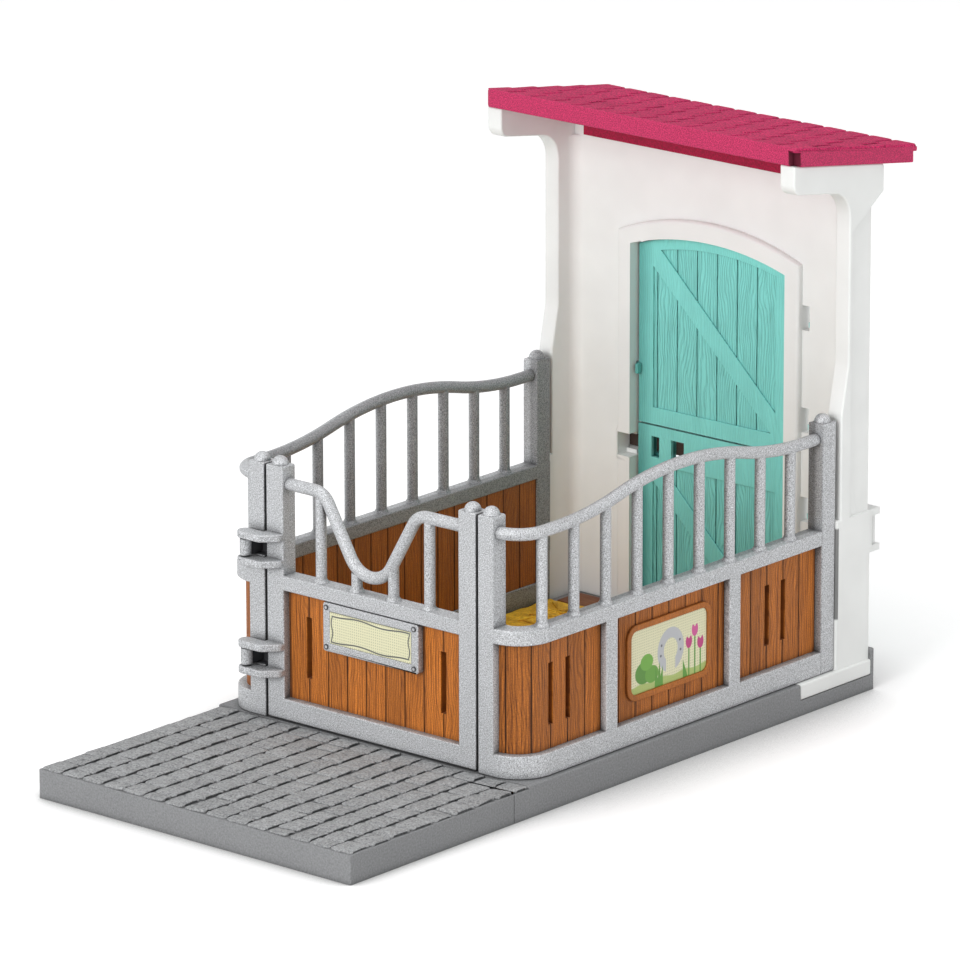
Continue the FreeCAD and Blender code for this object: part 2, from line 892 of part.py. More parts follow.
def gate_rail():
    """The round top rail of the gate, which dips for a horse's neck."""
    y = float(fence_front + fence_back) / 2
    top = float(floor + size.gate_rail_up)
    middle = -float(size.dip_shift)
    run = float(size.dip_depth) / DIP_SLOPE_SHARE
    end = float(gate_opening)
    return pipe(size.rail_radius, [
        (Vector(-end, y, top), 0),
        (Vector(middle - run, y, top), size.dip_lip_radius),
        (Vector(middle, y, top - float(size.dip_depth)), size.dip_bottom_radius),
        (Vector(middle + run, y, top), size.dip_lip_radius),
        (Vector(end, y, top), 0),
    ])


def gate_baluster_top(x):
    """Gives the height of the gate rail over a baluster."""
    top = floor + size.gate_rail_up
    away = x + size.dip_shift
    slope = (away if float(away) > 0 else -away) * DIP_SLOPE_SHARE
    return top if float(slope) > float(size.dip_depth) else top - size.dip_depth + slope


def hinge_arm(z):
    """Makes one hinge arm: a round knuckle with a plate that reaches across the gate's post."""
    front = gate_hinge_y - size.knuckle_radius
    back = gate_hinge_y + size.knuckle_radius
    plate = polygon("z", z[0], z[1], [
        (gate_hinge_x, front, 0),
        (-gate_opening - size.arm_taper, front, size.knuckle_radius),
        (-gate_opening, front + size.arm_taper, size.knuckle_radius),
        (-gate_opening, fence_front, 0),
        (-gate_half, fence_front, 0),
        (-gate_half, back, 0),
        (gate_hinge_x, back, 0),
    ])
    return fuse([plate, rod(size.knuckle_radius, gate_hinge_x, gate_hinge_y, z)])


def gate_frame():
    """The grey gate, in one moulding with its hinge arms and pins."""
    pieces = []
    depth = (fence_front, fence_back)
    for low, high in ((-gate_half, -gate_opening), (gate_opening, gate_half)):
        pieces += post((low, high), depth, gate_bottom)
    width = (-gate_opening, gate_opening)
    pieces.append(block(width, depth, (gate_bottom, panel_bottom)))
    pieces.append(block(width, depth, (panel_top, mid_rail_top)))
    pieces.append(gate_rail())
    for share in GATE_BALUSTER_SHARES:
        x = gate_opening * share
        pieces += baluster(x, (fence_front + fence_back) / 2, gate_baluster_top(x))
    for height in gate_hinge_heights:
        low_arm, high_arm = hinge_span(height)
        pieces += [hinge_arm(low_arm), hinge_arm(high_arm)]
        pieces.append(rod(size.hinge_pin_radius, gate_hinge_x, gate_hinge_y, (low_arm[1], high_arm[0])))
    return fuse(pieces)


plate_top = panel_top - size.plate_drop
plate_bottom = plate_top - size.plate_height
half_plate = gate_opening - size.plate_side
rivet_places = [
    (x, z)
    for x in both_sides(half_plate - size.rivet_inset)
    for z in (plate_bottom + size.rivet_inset, plate_top - size.rivet_inset)
]


def rivet_holes():
    """Makes the tools for the holes that take the rivets."""
    radius = size.rivet_shank_radius + size.screw_clearance
    depth = (fence_front - size.overrun, fence_front + size.rivet_length + size.screw_clearance)
    return [rod(radius, x, depth, z) for x, z in rivet_places]


def gate_panel():
    """The brown planked insert of the gate."""
    thickness = (gate_panel_front, gate_panel_back)
    panel = block((-gate_opening, gate_opening), thickness, (panel_bottom, panel_top))
    depth = (gate_panel_front - size.overrun, gate_panel_back + size.overrun)
    slots = [
        upright_slot((x - size.slot_width / 2, x + size.slot_width / 2), depth)
        for x in both_sides(gate_opening - size.gate_slot_inset)
    ]
    return cut(panel, slots + rivet_holes())


def label_field(depth):
    """Makes the field of the name plate inside its margin."""
    x = half_plate - size.label_margin
    z = (plate_bottom + size.label_margin, plate_top - size.label_margin)
    return block((-x, x), depth, z)


def name_plate():
    """The grey plate on the gate, with a shallow field for a label."""
    plate = block((-half_plate, half_plate), (fence_front, gate_panel_front), (plate_bottom, plate_top))
    field = label_field((fence_front - size.overrun, fence_front + size.label_pocket))
    return cut(plate, [field] + rivet_holes())


def name_label():
    """The paper label in the field of the name plate."""
    back = fence_front + size.label_pocket
    return label_field((back - size.label_thickness, back))


def plate_rivets():
    """The four rivets that hold the name plate."""
    rivets = []
    for x, z in rivet_places:
        rivets.append(fuse([
            rod(size.rivet_radius, x, (fence_front - size.rivet_head, fence_front), z),
            rod(size.rivet_shank_radius, x, (fence_front, fence_front + size.rivet_length), z),
        ]))
    return group(rivets)


# Wall and roof

def pillar():
    """The right pillar of the wall, with its foot and the bracket under the roof."""
    front = wall_back - size.pillar_depth
    lower_front = wall_back - size.lower_pillar_depth
    corbel_front = roof_front + size.corbel_setback
    corbel_rear = wall_back + size.corbel_back
    rear_low = roof_underside(corbel_rear) - size.corbel_height
    return polygon("x", pillar_inner, pillar_outer, [
        (plinth_front, foot_bottom, 0),
        (wall_back, foot_bottom, 0),
        (wall_back, rear_low - size.corbel_chamfer, 0),
        (corbel_rear, rear_low, 0),
        (corbel_rear, roof_underside(corbel_rear), 0),
        (corbel_front, roof_underside(corbel_front), 0),
        (corbel_front, roof_underside(corbel_front) - size.corbel_height, size.corbel_nose_radius),
        (front, roof_underside(front) - size.corbel_height, size.corbel_cove_radius),
        (front, floor + size.flare_high_up, size.flare_radius),
        (lower_front, floor + size.flare_low_up, size.flare_radius),
        (lower_front, floor + size.plinth_height, 0),
        (plinth_front, floor + size.plinth_height, 0),
    ])


def pillar_side_recess():
    """Makes the tool that sinks the pillar's outer side behind a front rib."""
    front = wall_back - size.pillar_depth + size.pillar_rib
    corbel_rear = wall_back + size.corbel_back
    rear_low = roof_underside(corbel_rear) - size.corbel_height
    top = rear_low - size.corbel_chamfer
    tip = top - (wall_back - front) * size.corbel_chamfer / size.corbel_back
    low = floor + size.plinth_height
    return polygon("x", pillar_outer - size.pillar_side_recess, pillar_outer + size.overrun, [
        (front, low, 0),
        (wall_back + size.overrun, low, 0),
        (wall_back + size.overrun, top, 0),
        (wall_back, top, 0),
        (front, tip, 0),
    ])


def cove():
    """Makes the hollow rounding between the wall and the right pillar."""
    radius = float(size.cove_radius)
    x = float(pillar_inner)
    y = float(wall_front)
    low = floor
    z = float(low)
    corner = Vector(x, y, z)
    on_wall = Vector(x - radius, y, z)
    on_pillar = Vector(x, y - radius, z)
    middle = Vector(x - radius + radius / math.sqrt(2), y - radius + radius / math.sqrt(2), z)
    edges = [
        Part.makeLine(corner, on_wall),
        Part.Arc(on_wall, middle, on_pillar).toShape(),
        Part.makeLine(on_pillar, corner),
    ]
    return prism("z", low, roof_underside(wall_back) - size.flange_drop, edges)


def connector():
    """The eye behind the right pillar that takes the hook of a neighbouring building."""
    low = floor + size.connector_up
    high = low + size.connector_height
    outer = pillar_outer - size.pillar_side_recess
    end = wall_back + size.connector_reach
    width = (pillar_inner, outer)
    pin_y = end - size.connector_pin_radius
    return [
        block(width, (wall_back - size.overrun, wall_back + size.connector_root), (low, high)),
        block(width, (wall_back - size.overrun, end), (low, low + size.connector_flange)),
        block(width, (wall_back - size.overrun, end), (high - size.connector_flange, high)),
        rod(size.connector_pin_radius, (pillar_inner + outer) / 2, pin_y, (low, high)),
    ]


def peg(clearance, x):
    """Makes a peg on a bracket, or the hole for it in the roof."""
    y = roof_front + size.corbel_setback + size.peg_setback
    base = roof_underside(y)
    return rod(size.peg_radius + clearance, x, y, (base - size.overrun, base + size.peg_height + clearance))


def door_clip(height):
    """Makes one clip on the back of the wall that grips a hinge pin of a door leaf."""
    z = (height - size.clip_height / 2, height + size.clip_height / 2)
    bore = size.door_pin_radius + size.running_clearance
    web = block(
        (door_hinge_x - size.clip_web / 2, door_hinge_x + size.clip_web / 2),
        (wall_back - size.overrun, door_hinge_y),
        z,
    )
    ring = snap_ring(size.clip_radius, bore, size.clip_mouth, door_hinge_x, door_hinge_y, z, (0, 1, 0))
    return cut(fuse([ring, web]), [rod(bore, door_hinge_x, door_hinge_y, z)])


def keeper():
    """The fork on the back of the wall that takes the tip of the door bolt."""
    inner = -half_door - size.overrun
    end = bolt_tip - size.keeper_end_clearance
    depth = (wall_back - size.overrun, wall_back + size.keeper_depth)
    low = bolt_bottom - size.keeper_clearance
    high = bolt_top + size.keeper_clearance
    return [
        block((end, inner), depth, (low - size.keeper_cheek, low)),
        block((end, inner), depth, (high, high + size.keeper_cheek)),
        block((end - size.keeper_cheek, end), depth, (low - size.keeper_cheek, high + size.keeper_cheek)),
    ]


def stall_wall():
    """The white rear wall, with pillars, brackets, the doorway and its hinge clips."""
    right = cut(pillar(), [pillar_side_recess()])
    foot_depth = (plinth_front - size.foot_reach, plinth_front + size.overrun)
    foot = block((foot_outer - size.foot_width, foot_outer), foot_depth, (foot_bottom, floor))
    plinth_side = block((pillar_outer, foot_outer), (plinth_front, wall_back), (foot_bottom, floor))
    roof_peg = peg(0, (pillar_inner + pillar_outer) / 2)
    right = fuse([right, foot, plinth_side, cove(), roof_peg] + connector())
    panel = polygon("x", -pillar_inner, pillar_inner, [
        (wall_front, floor, 0),
        (wall_back, floor, 0),
        (wall_back, roof_underside(wall_back), 0),
        (wall_front, roof_underside(wall_front), 0),
    ])
    architrave = arch(
        architrave_front, wall_front, half_door + size.architrave_width, floor,
        door_spring + size.architrave_shoulder,
        size.door_rise + size.architrave_crown - size.architrave_shoulder,
    )
    solid = fuse([panel, architrave, right, mirror(right)])
    through = (architrave_front - size.overrun, wall_back + size.overrun)
    doorway = arch(through[0], through[1], half_door, floor - size.overrun, door_spring, size.door_rise)
    window_edge = half_door + size.architrave_width
    windows = [
        block((window_edge, window_edge + size.hinge_window_width), through,
              (height - size.hinge_window_height / 2, height + size.hinge_window_height / 2))
        for height in upper_leaf_hinges + lower_leaf_hinges
    ]
    bolt_notch = block(
        (-half_door - size.bolt_notch_width, -half_door + size.overrun), through,
        (bolt_middle - size.bolt_notch_height / 2, bolt_middle + size.bolt_notch_height / 2),
    )
    catch_room = size.catch_height / 2 + size.catch_clearance
    catch_notch = block(
        (-leaf_half - size.catch_reach - size.catch_clearance, -half_door + size.overrun),
        (leaf_front - size.catch_clearance, wall_back + size.overrun),
        (catch_middle - catch_room, catch_middle + catch_room),
    )
    hole = size.shank_radius + size.screw_clearance
    screw_top = head_seat + size.wall_shank_length + size.screw_clearance
    screw_holes = [rod(hole, x, y, (0, screw_top)) for x, y in wall_screws]
    opened = cut(solid, [doorway, bolt_notch, catch_notch] + windows + screw_holes)
    clips = [door_clip(height) for height in upper_leaf_hinges + lower_leaf_hinges]
    return fuse([opened] + clips + keeper())


def roof():
    """The tiled roof, with the flange that lies against the front of the wall."""
    top_front = roof_underside(roof_front) + size.roof_thickness
    top_back = roof_underside(roof_back) + size.roof_thickness
    step_front = roof_back - size.roof_step_depth
    slab = polygon("x", -half_roof, half_roof, [
        (roof_front, roof_underside(roof_front), 0),
        (step_front, roof_underside(step_front), 0),
        (step_front, roof_underside(step_front) + size.roof_step_height, 0),
        (roof_back, roof_underside(roof_back) + size.roof_step_height, 0),
        (roof_back, top_back, 0),
        (roof_front, top_front, 0),
    ])
    plan = polygon("z", roof_underside(roof_back), top_front + size.overrun, [
        (-half_roof, roof_front, size.roof_corner_radius),
        (half_roof, roof_front, 0),
        (half_roof, roof_back, 0),
        (-half_roof, roof_back, 0),
    ])
    notch = block(
        (half_roof - size.roof_notch, half_roof + size.overrun),
        (roof_front - size.overrun, roof_front + size.roof_notch),
        (roof_underside(roof_back), top_front - size.roof_notch_cover),
    )
    flange_back = wall_front - size.flange_gap
    flange_front = flange_back - size.flange_thickness
    flange_half = pillar_inner - size.flange_side
    flange = polygon("x", -flange_half, flange_half, [
        (flange_front, roof_underside(flange_front) - size.flange_drop, 0),
        (flange_back, roof_underside(flange_front) - size.flange_drop, 0),
        (flange_back, roof_underside(flange_back) + size.overrun, 0),
        (flange_front, roof_underside(flange_front) + size.overrun, 0),
    ])
    holes = [peg(size.peg_clearance, x) for x in both_sides((pillar_inner + pillar_outer) / 2)]
    return cut(fuse([common(slab, plan), flange]), [notch] + holes)


# Door leaves and bolt

def leaf_outline(depth, bottom, top):
    """Makes a slice of the whole door between two heights."""
    door = arch(depth[0], depth[1], leaf_half, leaf_bottom, door_spring - size.door_gap, size.door_rise)
    return common(door, block((-leaf_half, leaf_half), depth, (bottom, top)))


def brace(depth, top, start):
    """Makes the slanting board of a leaf, from the upper left to the lower right."""
    high = top + start * BRACE_SLOPE_SHARE
    low = high - leaf_half * (2 * BRACE_SLOPE_SHARE)
    return polygon("y", depth[0], depth[1], [
        (-leaf_half, high - size.brace_width, 0),
        (leaf_half, low - size.brace_width, 0),
        (leaf_half, low, 0),
        (-leaf_half, high, 0),
    ])


def hinge_ears(heights):
    """Makes the ears and pins at the back of a leaf that turn in the clips of the wall."""
    pieces = []
    inside = size.clip_height / 2 + size.hinge_end_gap
    outside = inside + size.ear_thickness
    back = door_hinge_y + size.ear_radius
    for height in heights:
        for z in ((height - outside, height - inside), (height + inside, height + outside)):
            pieces.append(rod(size.ear_radius, door_hinge_x, door_hinge_y, z))
            pieces.append(polygon("z", z[0], z[1], [
                (door_hinge_x - size.ear_length, leaf_back - size.member_raise, 0),
                (leaf_half, leaf_back - size.member_raise, 0),
                (door_hinge_x, door_hinge_y - size.ear_radius, 0),
                (door_hinge_x, back, 0),
                (leaf_half, back, 0),
                (door_hinge_x - size.ear_length, leaf_back, 0),
            ]))
        pin = (height - inside, height + inside)
        pieces.append(rod(size.door_pin_radius, door_hinge_x, door_hinge_y, pin))
    return pieces


def leaf(bottom, top, top_rail_depth, brace_start, crown, hinges):
    """Makes one leaf: a planked board with stiles, rails and a brace on its front."""
    face = leaf_front + size.member_raise
    board = leaf_outline((face, leaf_back), bottom, top)
    raised = (leaf_front, face)
    whole = leaf_outline(raised, bottom, top)
    rail_low = bottom + size.bottom_rail_width
    field = block((size.stile_width - leaf_half, leaf_half - size.stile_width),
                  (leaf_front - size.overrun, face + size.overrun), (rail_low, top - top_rail_depth))
    if crown:
        field = common(field, arch(
            leaf_front - size.overrun, face + size.overrun, leaf_half, leaf_bottom,
            door_spring - size.door_gap - top_rail_depth, size.door_rise,
        ))
    frame = cut(whole, [field])
    slant = common(brace(raised, top - top_rail_depth, brace_start), whole)
    return fuse([board, frame, slant] + hinge_ears(hinges))


def upper_door_leaf():
    """The upper leaf of the door, arched, with a catch and a finger tab on its free edge."""
    crown = door_spring - size.door_gap + size.door_rise
    bottom = split + size.door_gap / 2
    body = leaf(bottom, crown, size.top_rail_width, size.upper_brace_start, True, upper_leaf_hinges)
    catch = block(
        (-leaf_half - size.catch_reach, -leaf_half + size.overrun),
        (leaf_front, leaf_front + size.catch_depth),
        (catch_middle - size.catch_height / 2, catch_middle + size.catch_height / 2),
    )
    tab = block(
        (-leaf_half + size.tab_inset, -leaf_half + size.tab_inset + size.tab_width),
        (leaf_front - size.tab_reach, leaf_front + size.member_raise),
        (catch_middle - size.catch_height / 2, catch_middle + size.catch_height / 2),
    )
    return fuse([body, catch, tab])


def strap(share):
    """Makes one guide of the bolt: a bridge on the back of the lower leaf."""
    x = bolt_tip + size.bolt_length * share
    width = (x, x + size.strap_width)
    low = bolt_bottom - size.strap_clearance
    high = bolt_top + size.strap_clearance
    inside = bolt_back + size.strap_clearance
    outside = inside + size.strap_thickness
    start = leaf_back - size.member_raise
    return [
        block(width, (start, outside), (low - size.strap_thickness, low)),
        block(width, (start, outside), (high, high + size.strap_thickness)),
        block(width, (inside, outside), (low - size.strap_thickness, high + size.strap_thickness)),
    ]


def lower_door_leaf():
    """The lower leaf of the door, with two windows and the guides of the bolt."""
    top = split - size.door_gap / 2
    rail = size.lock_rail_width
    body = leaf(leaf_bottom, top, rail, size.lower_brace_start, False, lower_leaf_hinges)
    first = size.bolt_window_inset - leaf_half
    second = first + size.bolt_window_width + size.bolt_window_space
    through = (leaf_front - size.overrun, leaf_back + size.overrun)
    z = (bolt_middle - size.bolt_window_height / 2, bolt_middle + size.bolt_window_height / 2)
    windows = [
        block((first, first + size.bolt_window_width), through, z),
        block((second, second + size.bolt_window_wide), through, z),
    ]
    straps = [piece for share in STRAP_SHARES for piece in strap(share)]
    return fuse([cut(body, windows)] + straps)


def door_bolt():
    """The brown bolt that slides behind the lower leaf, with its knob."""
    height = (bolt_bottom, bolt_top)
    bar = block((bolt_tip, bolt_tip + size.bolt_length), (bolt_front, bolt_back), height)
    x = bolt_tip + size.bolt_length * KNOB_SHARE
    knob = block((x, x + size.knob_width), (bolt_front, bolt_back + size.knob_reach), height)
    return fuse([bar, knob])


# Floor of the stall

def straw_bedding():
    """The straw on the floor, between the fences, the gate and the wall."""
    side = fence_inner - size.bedding_gap
    front_side = corner_x - size.front_post_width - size.bedding_gap
    front = fence_back + size.bedding_gap
    shoulder = corner_y + size.bedding_gap
    back = plinth_front - size.bedding_gap
    low = floor
    return polygon("z", low, low + size.bedding_height, [
        (-front_side, front, 0),
        (front_side, front, 0),
        (side, shoulder, 0),
        (side, back, 0),
        (-side, back, 0),
        (-side, shoulder, 0),
    ])


def door_sill():
    """The brown strip of floor between the straw and the door."""
    side = pillar_inner - size.cove_radius - size.bedding_gap
    depth = (plinth_front, architrave_front - size.bedding_gap)
    return block((-side, side), depth, (floor, floor + size.sill_height))


right_frame = fence_frame()
right_panel = wood_panel()
right_label = picture_label()

finish(front_apron(), "front_apron")
finish(apron_under_plate(), "apron_under_plate")
finish(stall_base(), "stall_base")
finish(stall_under_plate(), "stall_under_plate")
finish(group([screw(x, y, size.shank_length) for x, y in apron_bosses + stall_bosses]), "base_screws")
finish(group([screw(x, y, size.wall_shank_length) for x, y in wall_screws]), "wall_screws")
finish(hinged_fence_frame(right_frame), "left_fence_frame")
finish(mirror(right_panel), "left_wood_panel")
finish(mirror(right_label), "left_picture_label")
finish(right_frame, "right_fence_frame")
finish(right_panel, "right_wood_panel")
finish(right_label, "right_picture_label")
finish(gate_frame(), "gate_frame")
finish(gate_panel(), "gate_panel")
finish(name_plate(), "name_plate")
finish(name_label(), "name_label")
finish(plate_rivets(), "plate_rivets")
finish(stall_wall(), "stall_wall")
finish(roof(), "roof")
finish(upper_door_leaf(), "upper_door_leaf")
finish(lower_door_leaf(), "lower_door_leaf")
finish(door_bolt(), "door_bolt")
finish(straw_bedding(), "straw_bedding")
finish(door_sill(), "door_sill")

doc.recompute()
failed = [item.Label for item in doc.Objects if {"Invalid", "Error"} & set(item.State)]
if failed:
    raise RuntimeError(f"these objects failed: {failed}")
for item in sub_parts:
    if item.Shape.isNull() or not item.Shape.isValid() or not item.Shape.Solids:
        raise RuntimeError(f"{item.Label} has no sound shape")
for item in sub_parts:
    item.Shape.exportStep(f"parts/{item.Label}.step")
    print(f"{item.Label}: {len(item.Shape.Solids)} solids, {item.Shape.Volume / 1000:.2f} cm3")
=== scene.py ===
import math
import random

import bmesh
import bpy
from bpy.props import FloatProperty, FloatVectorProperty, IntProperty, PointerProperty
from mathutils import Matrix, Vector, noise


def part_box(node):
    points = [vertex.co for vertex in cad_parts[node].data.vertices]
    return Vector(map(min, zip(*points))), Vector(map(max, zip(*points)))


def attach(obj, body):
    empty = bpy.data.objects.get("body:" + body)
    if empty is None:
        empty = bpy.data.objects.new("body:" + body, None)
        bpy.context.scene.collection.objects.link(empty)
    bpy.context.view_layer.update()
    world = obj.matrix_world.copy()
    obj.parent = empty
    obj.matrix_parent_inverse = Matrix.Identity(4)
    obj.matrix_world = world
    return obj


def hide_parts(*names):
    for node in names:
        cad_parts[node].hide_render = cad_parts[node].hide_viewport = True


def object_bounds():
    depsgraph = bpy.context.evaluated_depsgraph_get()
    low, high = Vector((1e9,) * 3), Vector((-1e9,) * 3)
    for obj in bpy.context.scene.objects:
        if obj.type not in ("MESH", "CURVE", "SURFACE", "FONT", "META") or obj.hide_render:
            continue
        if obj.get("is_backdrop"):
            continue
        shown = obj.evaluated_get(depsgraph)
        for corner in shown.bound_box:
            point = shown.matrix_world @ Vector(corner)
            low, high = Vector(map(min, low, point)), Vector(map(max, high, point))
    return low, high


bl_info = {
    "name": "Toy horse stall",
    "version": (1, 0, 0),
    "blender": (4, 5, 0),
    "location": "3D View > Sidebar > Stall",
    "description": "Dresses the packed toy horse stall and sets up its studio",
    "category": "Object",
}

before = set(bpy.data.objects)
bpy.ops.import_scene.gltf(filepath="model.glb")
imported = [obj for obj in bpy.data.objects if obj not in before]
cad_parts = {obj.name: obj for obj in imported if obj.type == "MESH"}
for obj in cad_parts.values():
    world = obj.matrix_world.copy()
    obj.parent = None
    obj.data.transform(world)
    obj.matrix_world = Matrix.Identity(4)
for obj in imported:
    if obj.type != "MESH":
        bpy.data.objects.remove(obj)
CAD_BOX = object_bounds()
# The stones and the tiles are uneven in the same way in every run.
NOISE_SEED = 7
noise.seed_set(NOISE_SEED)

# Lengths and tolerances
MM = 0.001
MERGE = 0.002 * MM
TRIFLE = 0.01 * MM
NEAR = 0.1 * MM
SHORT_EDGE = 0.3 * MM
SHARP = math.radians(50)
FACING = 0.7
LEVEL = 0.9
ALONG_X = Vector((1, 0, 0))
ALONG_Y = Vector((0, 1, 0))
ALONG_Z = Vector((0, 0, 1))

# Places of the solids
BASE_LOW, BASE_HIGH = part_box("stall_base")
APRON_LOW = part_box("front_apron")[0]
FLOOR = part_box("left_fence_frame")[0].z
FENCE_LOW, FENCE_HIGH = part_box("right_fence_frame")
GATE_LOW, GATE_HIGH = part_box("gate_panel")
PANEL_LOW, PANEL_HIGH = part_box("right_wood_panel")
LABEL_LOW, LABEL_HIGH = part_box("right_picture_label")
NAME_LOW, NAME_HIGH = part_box("name_label")
RIVETS_LOW, RIVETS_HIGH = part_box("plate_rivets")
ROOF_LOW, ROOF_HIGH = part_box("roof")
BOLT_LOW, BOLT_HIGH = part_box("door_bolt")
LEAF_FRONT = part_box("lower_door_leaf")[0].y
BED_LOW, BED_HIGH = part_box("straw_bedding")

# Fences and gate
BOARD = 3.0 * MM
REAR_POST = 7.3 * MM
POST_FACE = FENCE_HIGH.y - REAR_POST
# Places of painted shade: a band on the right rear post's front and the fences' inner sides behind the
# gate
POST_SHADE = (POST_FACE - 0.4 * MM, POST_FACE - 0.2 * MM)
POST_LIGHT = (POST_FACE + 0.2 * MM, POST_FACE + 0.5 * MM)
RAIL_FADE = (FENCE_HIGH.x - 4.2 * MM, FENCE_HIGH.x - 2.4 * MM)
FRONT_FADE = (FENCE_LOW.y + 8 * MM, FENCE_LOW.y + 12 * MM)
CORNER_RADIUS = 13.3 * MM
CORNER_X = FENCE_HIGH.x - CORNER_RADIUS
CORNER_Y = FENCE_LOW.y + CORNER_RADIUS
PANEL_RADIUS = CORNER_Y - PANEL_LOW.y
BORDER_FADE = (PANEL_HIGH.x - 0.75 * MM, PANEL_HIGH.x - 0.55 * MM)
SIDE_JOINT = 4.25 * MM
GATE_FIELD = 60.4 * MM
GATE_PLANK = GATE_FIELD / 7
GATE_JOINT = -GATE_FIELD / 2
HINGE_HEIGHTS = (FLOOR + 22 * MM, FLOOR + 61 * MM)
POCKET_HALF = 5.6 * MM
POCKET_LEFT = -CORNER_X + 0.6 * MM
POCKET_RIGHT = -CORNER_X + 6.9 * MM
POCKET_FRONT = FENCE_LOW.y + 0.6 * MM
POCKET_BACK = FENCE_LOW.y + 3.7 * MM
RIVET_HEAD = 0.9 * MM
NAME_MARGIN = 0.9 * MM
DOT_PITCH = 0.95 * MM

# Wall and door
WALL_BACK = BASE_HIGH.y - 1.9 * MM
SURROUND_FACE = WALL_BACK - 6.3 * MM
DOORWAY_HALF = 45 * MM
DOORWAY_TOP = FLOOR + 150 * MM
DOORWAY_MIDDLE = Vector((0, 0, FLOOR + 75 * MM))
# Where the painted shadow of the gap beside each rear post lies
GAP_SIDE = 60 * MM
GAP_LOW = FLOOR + 18 * MM
GAP_HIGH = FLOOR + 52 * MM
GAP_FADE = (FENCE_HIGH.y + 0.9 * MM, FENCE_HIGH.y + 1.2 * MM)
DOOR_HALF = 34.3 * MM
DOOR_STILE = 6.6 * MM
DOOR_PLANK = 9.02 * MM
DOOR_JOINT = -8.1 * MM
MEMBER_RAISE = 0.6 * MM
MEMBER_FADE = (LEAF_FRONT + 0.30 * MM, LEAF_FRONT + 0.50 * MM)
LEAF_FADE = (LEAF_FRONT + 1.0 * MM, LEAF_FRONT + 1.6 * MM)
LEAF_BACK = LEAF_FRONT + 2.8 * MM
DOOR_FADE = (-DOOR_HALF, -DOOR_HALF + 8 * MM)
DOOR_FOOT = (FLOOR + 25 * MM, FLOOR + 75 * MM)
KEEPER_ROOM = 4 * MM
KEEPER_LOW = BOLT_LOW.z - KEEPER_ROOM
KEEPER_HIGH = BOLT_HIGH.z + KEEPER_ROOM

# Roof
ROOF_REACH = ROOF_HIGH.y - ROOF_LOW.y
ROOF_FALL = 11.0 * MM
ROOF_SLOPE = math.atan2(ROOF_FALL, ROOF_REACH)
ROOF_NOTCH = 3.0 * MM
LIP_BACK = ROOF_LOW.y + 0.7 * MM
FASCIA_FOOT = ROOF_HIGH.z - 19 * MM
FLANGE_FRONT = ROOF_LOW.y + 12 * MM
TILE_HEIGHT = 1.5 * MM
TILE_SIDE = 1.6 * MM
TILE_TOP = 0.85 * MM
TILE_OVERLAP = 2.6 * MM
TILE_CORNER = 4.0 * MM
TILE_ROUND = 3.8 * MM
PLAIN_END = 1.3 * MM
FRONT_INSET = 0.05 * MM
FRONT_RISE = 0.15 * MM
TILE_RISE = (0.35, 0.5)
TILE_GAP = (0.8, 1.2)
TILE_WEAR = 0.15 * MM

# Paving
STONE_SIDE = 1.3 * MM
STONE_TOP = 0.5 * MM
STONE_FALL = 0.4 * MM
STONE_WAIST = 0.25 * MM
STONE_CUT = 0.29
STONE_MIDDLE = 0.6
STONE_TILT = (-3.4, -0.8)
STONE_TURN = (-1.2, 1.2)
STONE_SWAY = 0.3 * MM
STONE_SINK = (1.0, 1.15)
STONE_SIDE_GAP = (0.8, 1.2)
STONE_END_GAP = (0.6, 1.2)
STONE_RUN = (0.9, 1.1)
STONE_WEAR = 0.34 * MM
FIRST_SHARE = 0.55
SHORTEST_STONE = 4 * MM
UPRIGHT_EDGE = 3 * MM
PAVING_END = FENCE_LOW.y + 0.4 * MM
PAVING_STEP = 0.05 * MM
PAVING_TUCK = 0.6 * MM

# Straw
MAT_STEP = 2 * MM
MAT_SINK = 0.35 * MM
MAT_DIP = 0.5 * MM
MAT_RIPPLE = 0.6 * MM
STRAW_MARGIN = 7 * MM
STRAW_FRONT = 12 * MM
STRAW_LENGTH = (5 * MM, 13 * MM)
STRAW_LIFT = 0.25 * MM
STRAW_TIP = math.radians(3)
STRAW_BEND = 0.3 * MM

# Finishes
SATIN = 0.35
# A finish's occlusion share darkens its colour in nooks as painted shade.
GRAIN = {
    "cast_stone": dict(scale=1500, contrast=1.0, roughness=0.6, relief=0.14 * MM, occlusion_shade=0.5),
    "paving_stone": dict(scale=1400, contrast=2.2, roughness=0.62, relief=0.6 * MM, lumps=2.6),
    "paving_joint": dict(scale=1200, contrast=0.5, roughness=0.7, relief=0.2 * MM),
    "screw_steel": dict(scale=2600, contrast=0.4, roughness=0.25, relief=0.02 * MM, metallic=0.9),
    "hinge_pocket_shade": dict(scale=2600, contrast=0.5, roughness=0.5, relief=0.1 * MM),
    "roof_plastic": dict(scale=2500, contrast=2.8, roughness=0.6, relief=0.16 * MM),
    "roof_joint": dict(scale=1250, contrast=0.5, roughness=0.7, relief=0.16 * MM),
    "roof_shade": dict(scale=1800, contrast=2.0, roughness=0.6, relief=0.16 * MM),
    "roof_tile": dict(scale=1500, contrast=3.4, roughness=0.6, relief=0.18 * MM, occlusion_shade=0.5, gloss=0.1),
    "bolt_plastic": dict(scale=1100, contrast=0.5, roughness=0.35, relief=0.08 * MM),
}
MEADOW = (0.36, 0.48, 0.10)
BLADE = (0.10, 0.30, 0.03)
SHOE = (0.50, 0.51, 0.53)
NAIL = (0.16, 0.16, 0.18)

# Stage
GROUND_SIZE = 14
GROUND_DROP = 0.05 * MM
SKY_LIGHT = 0.40
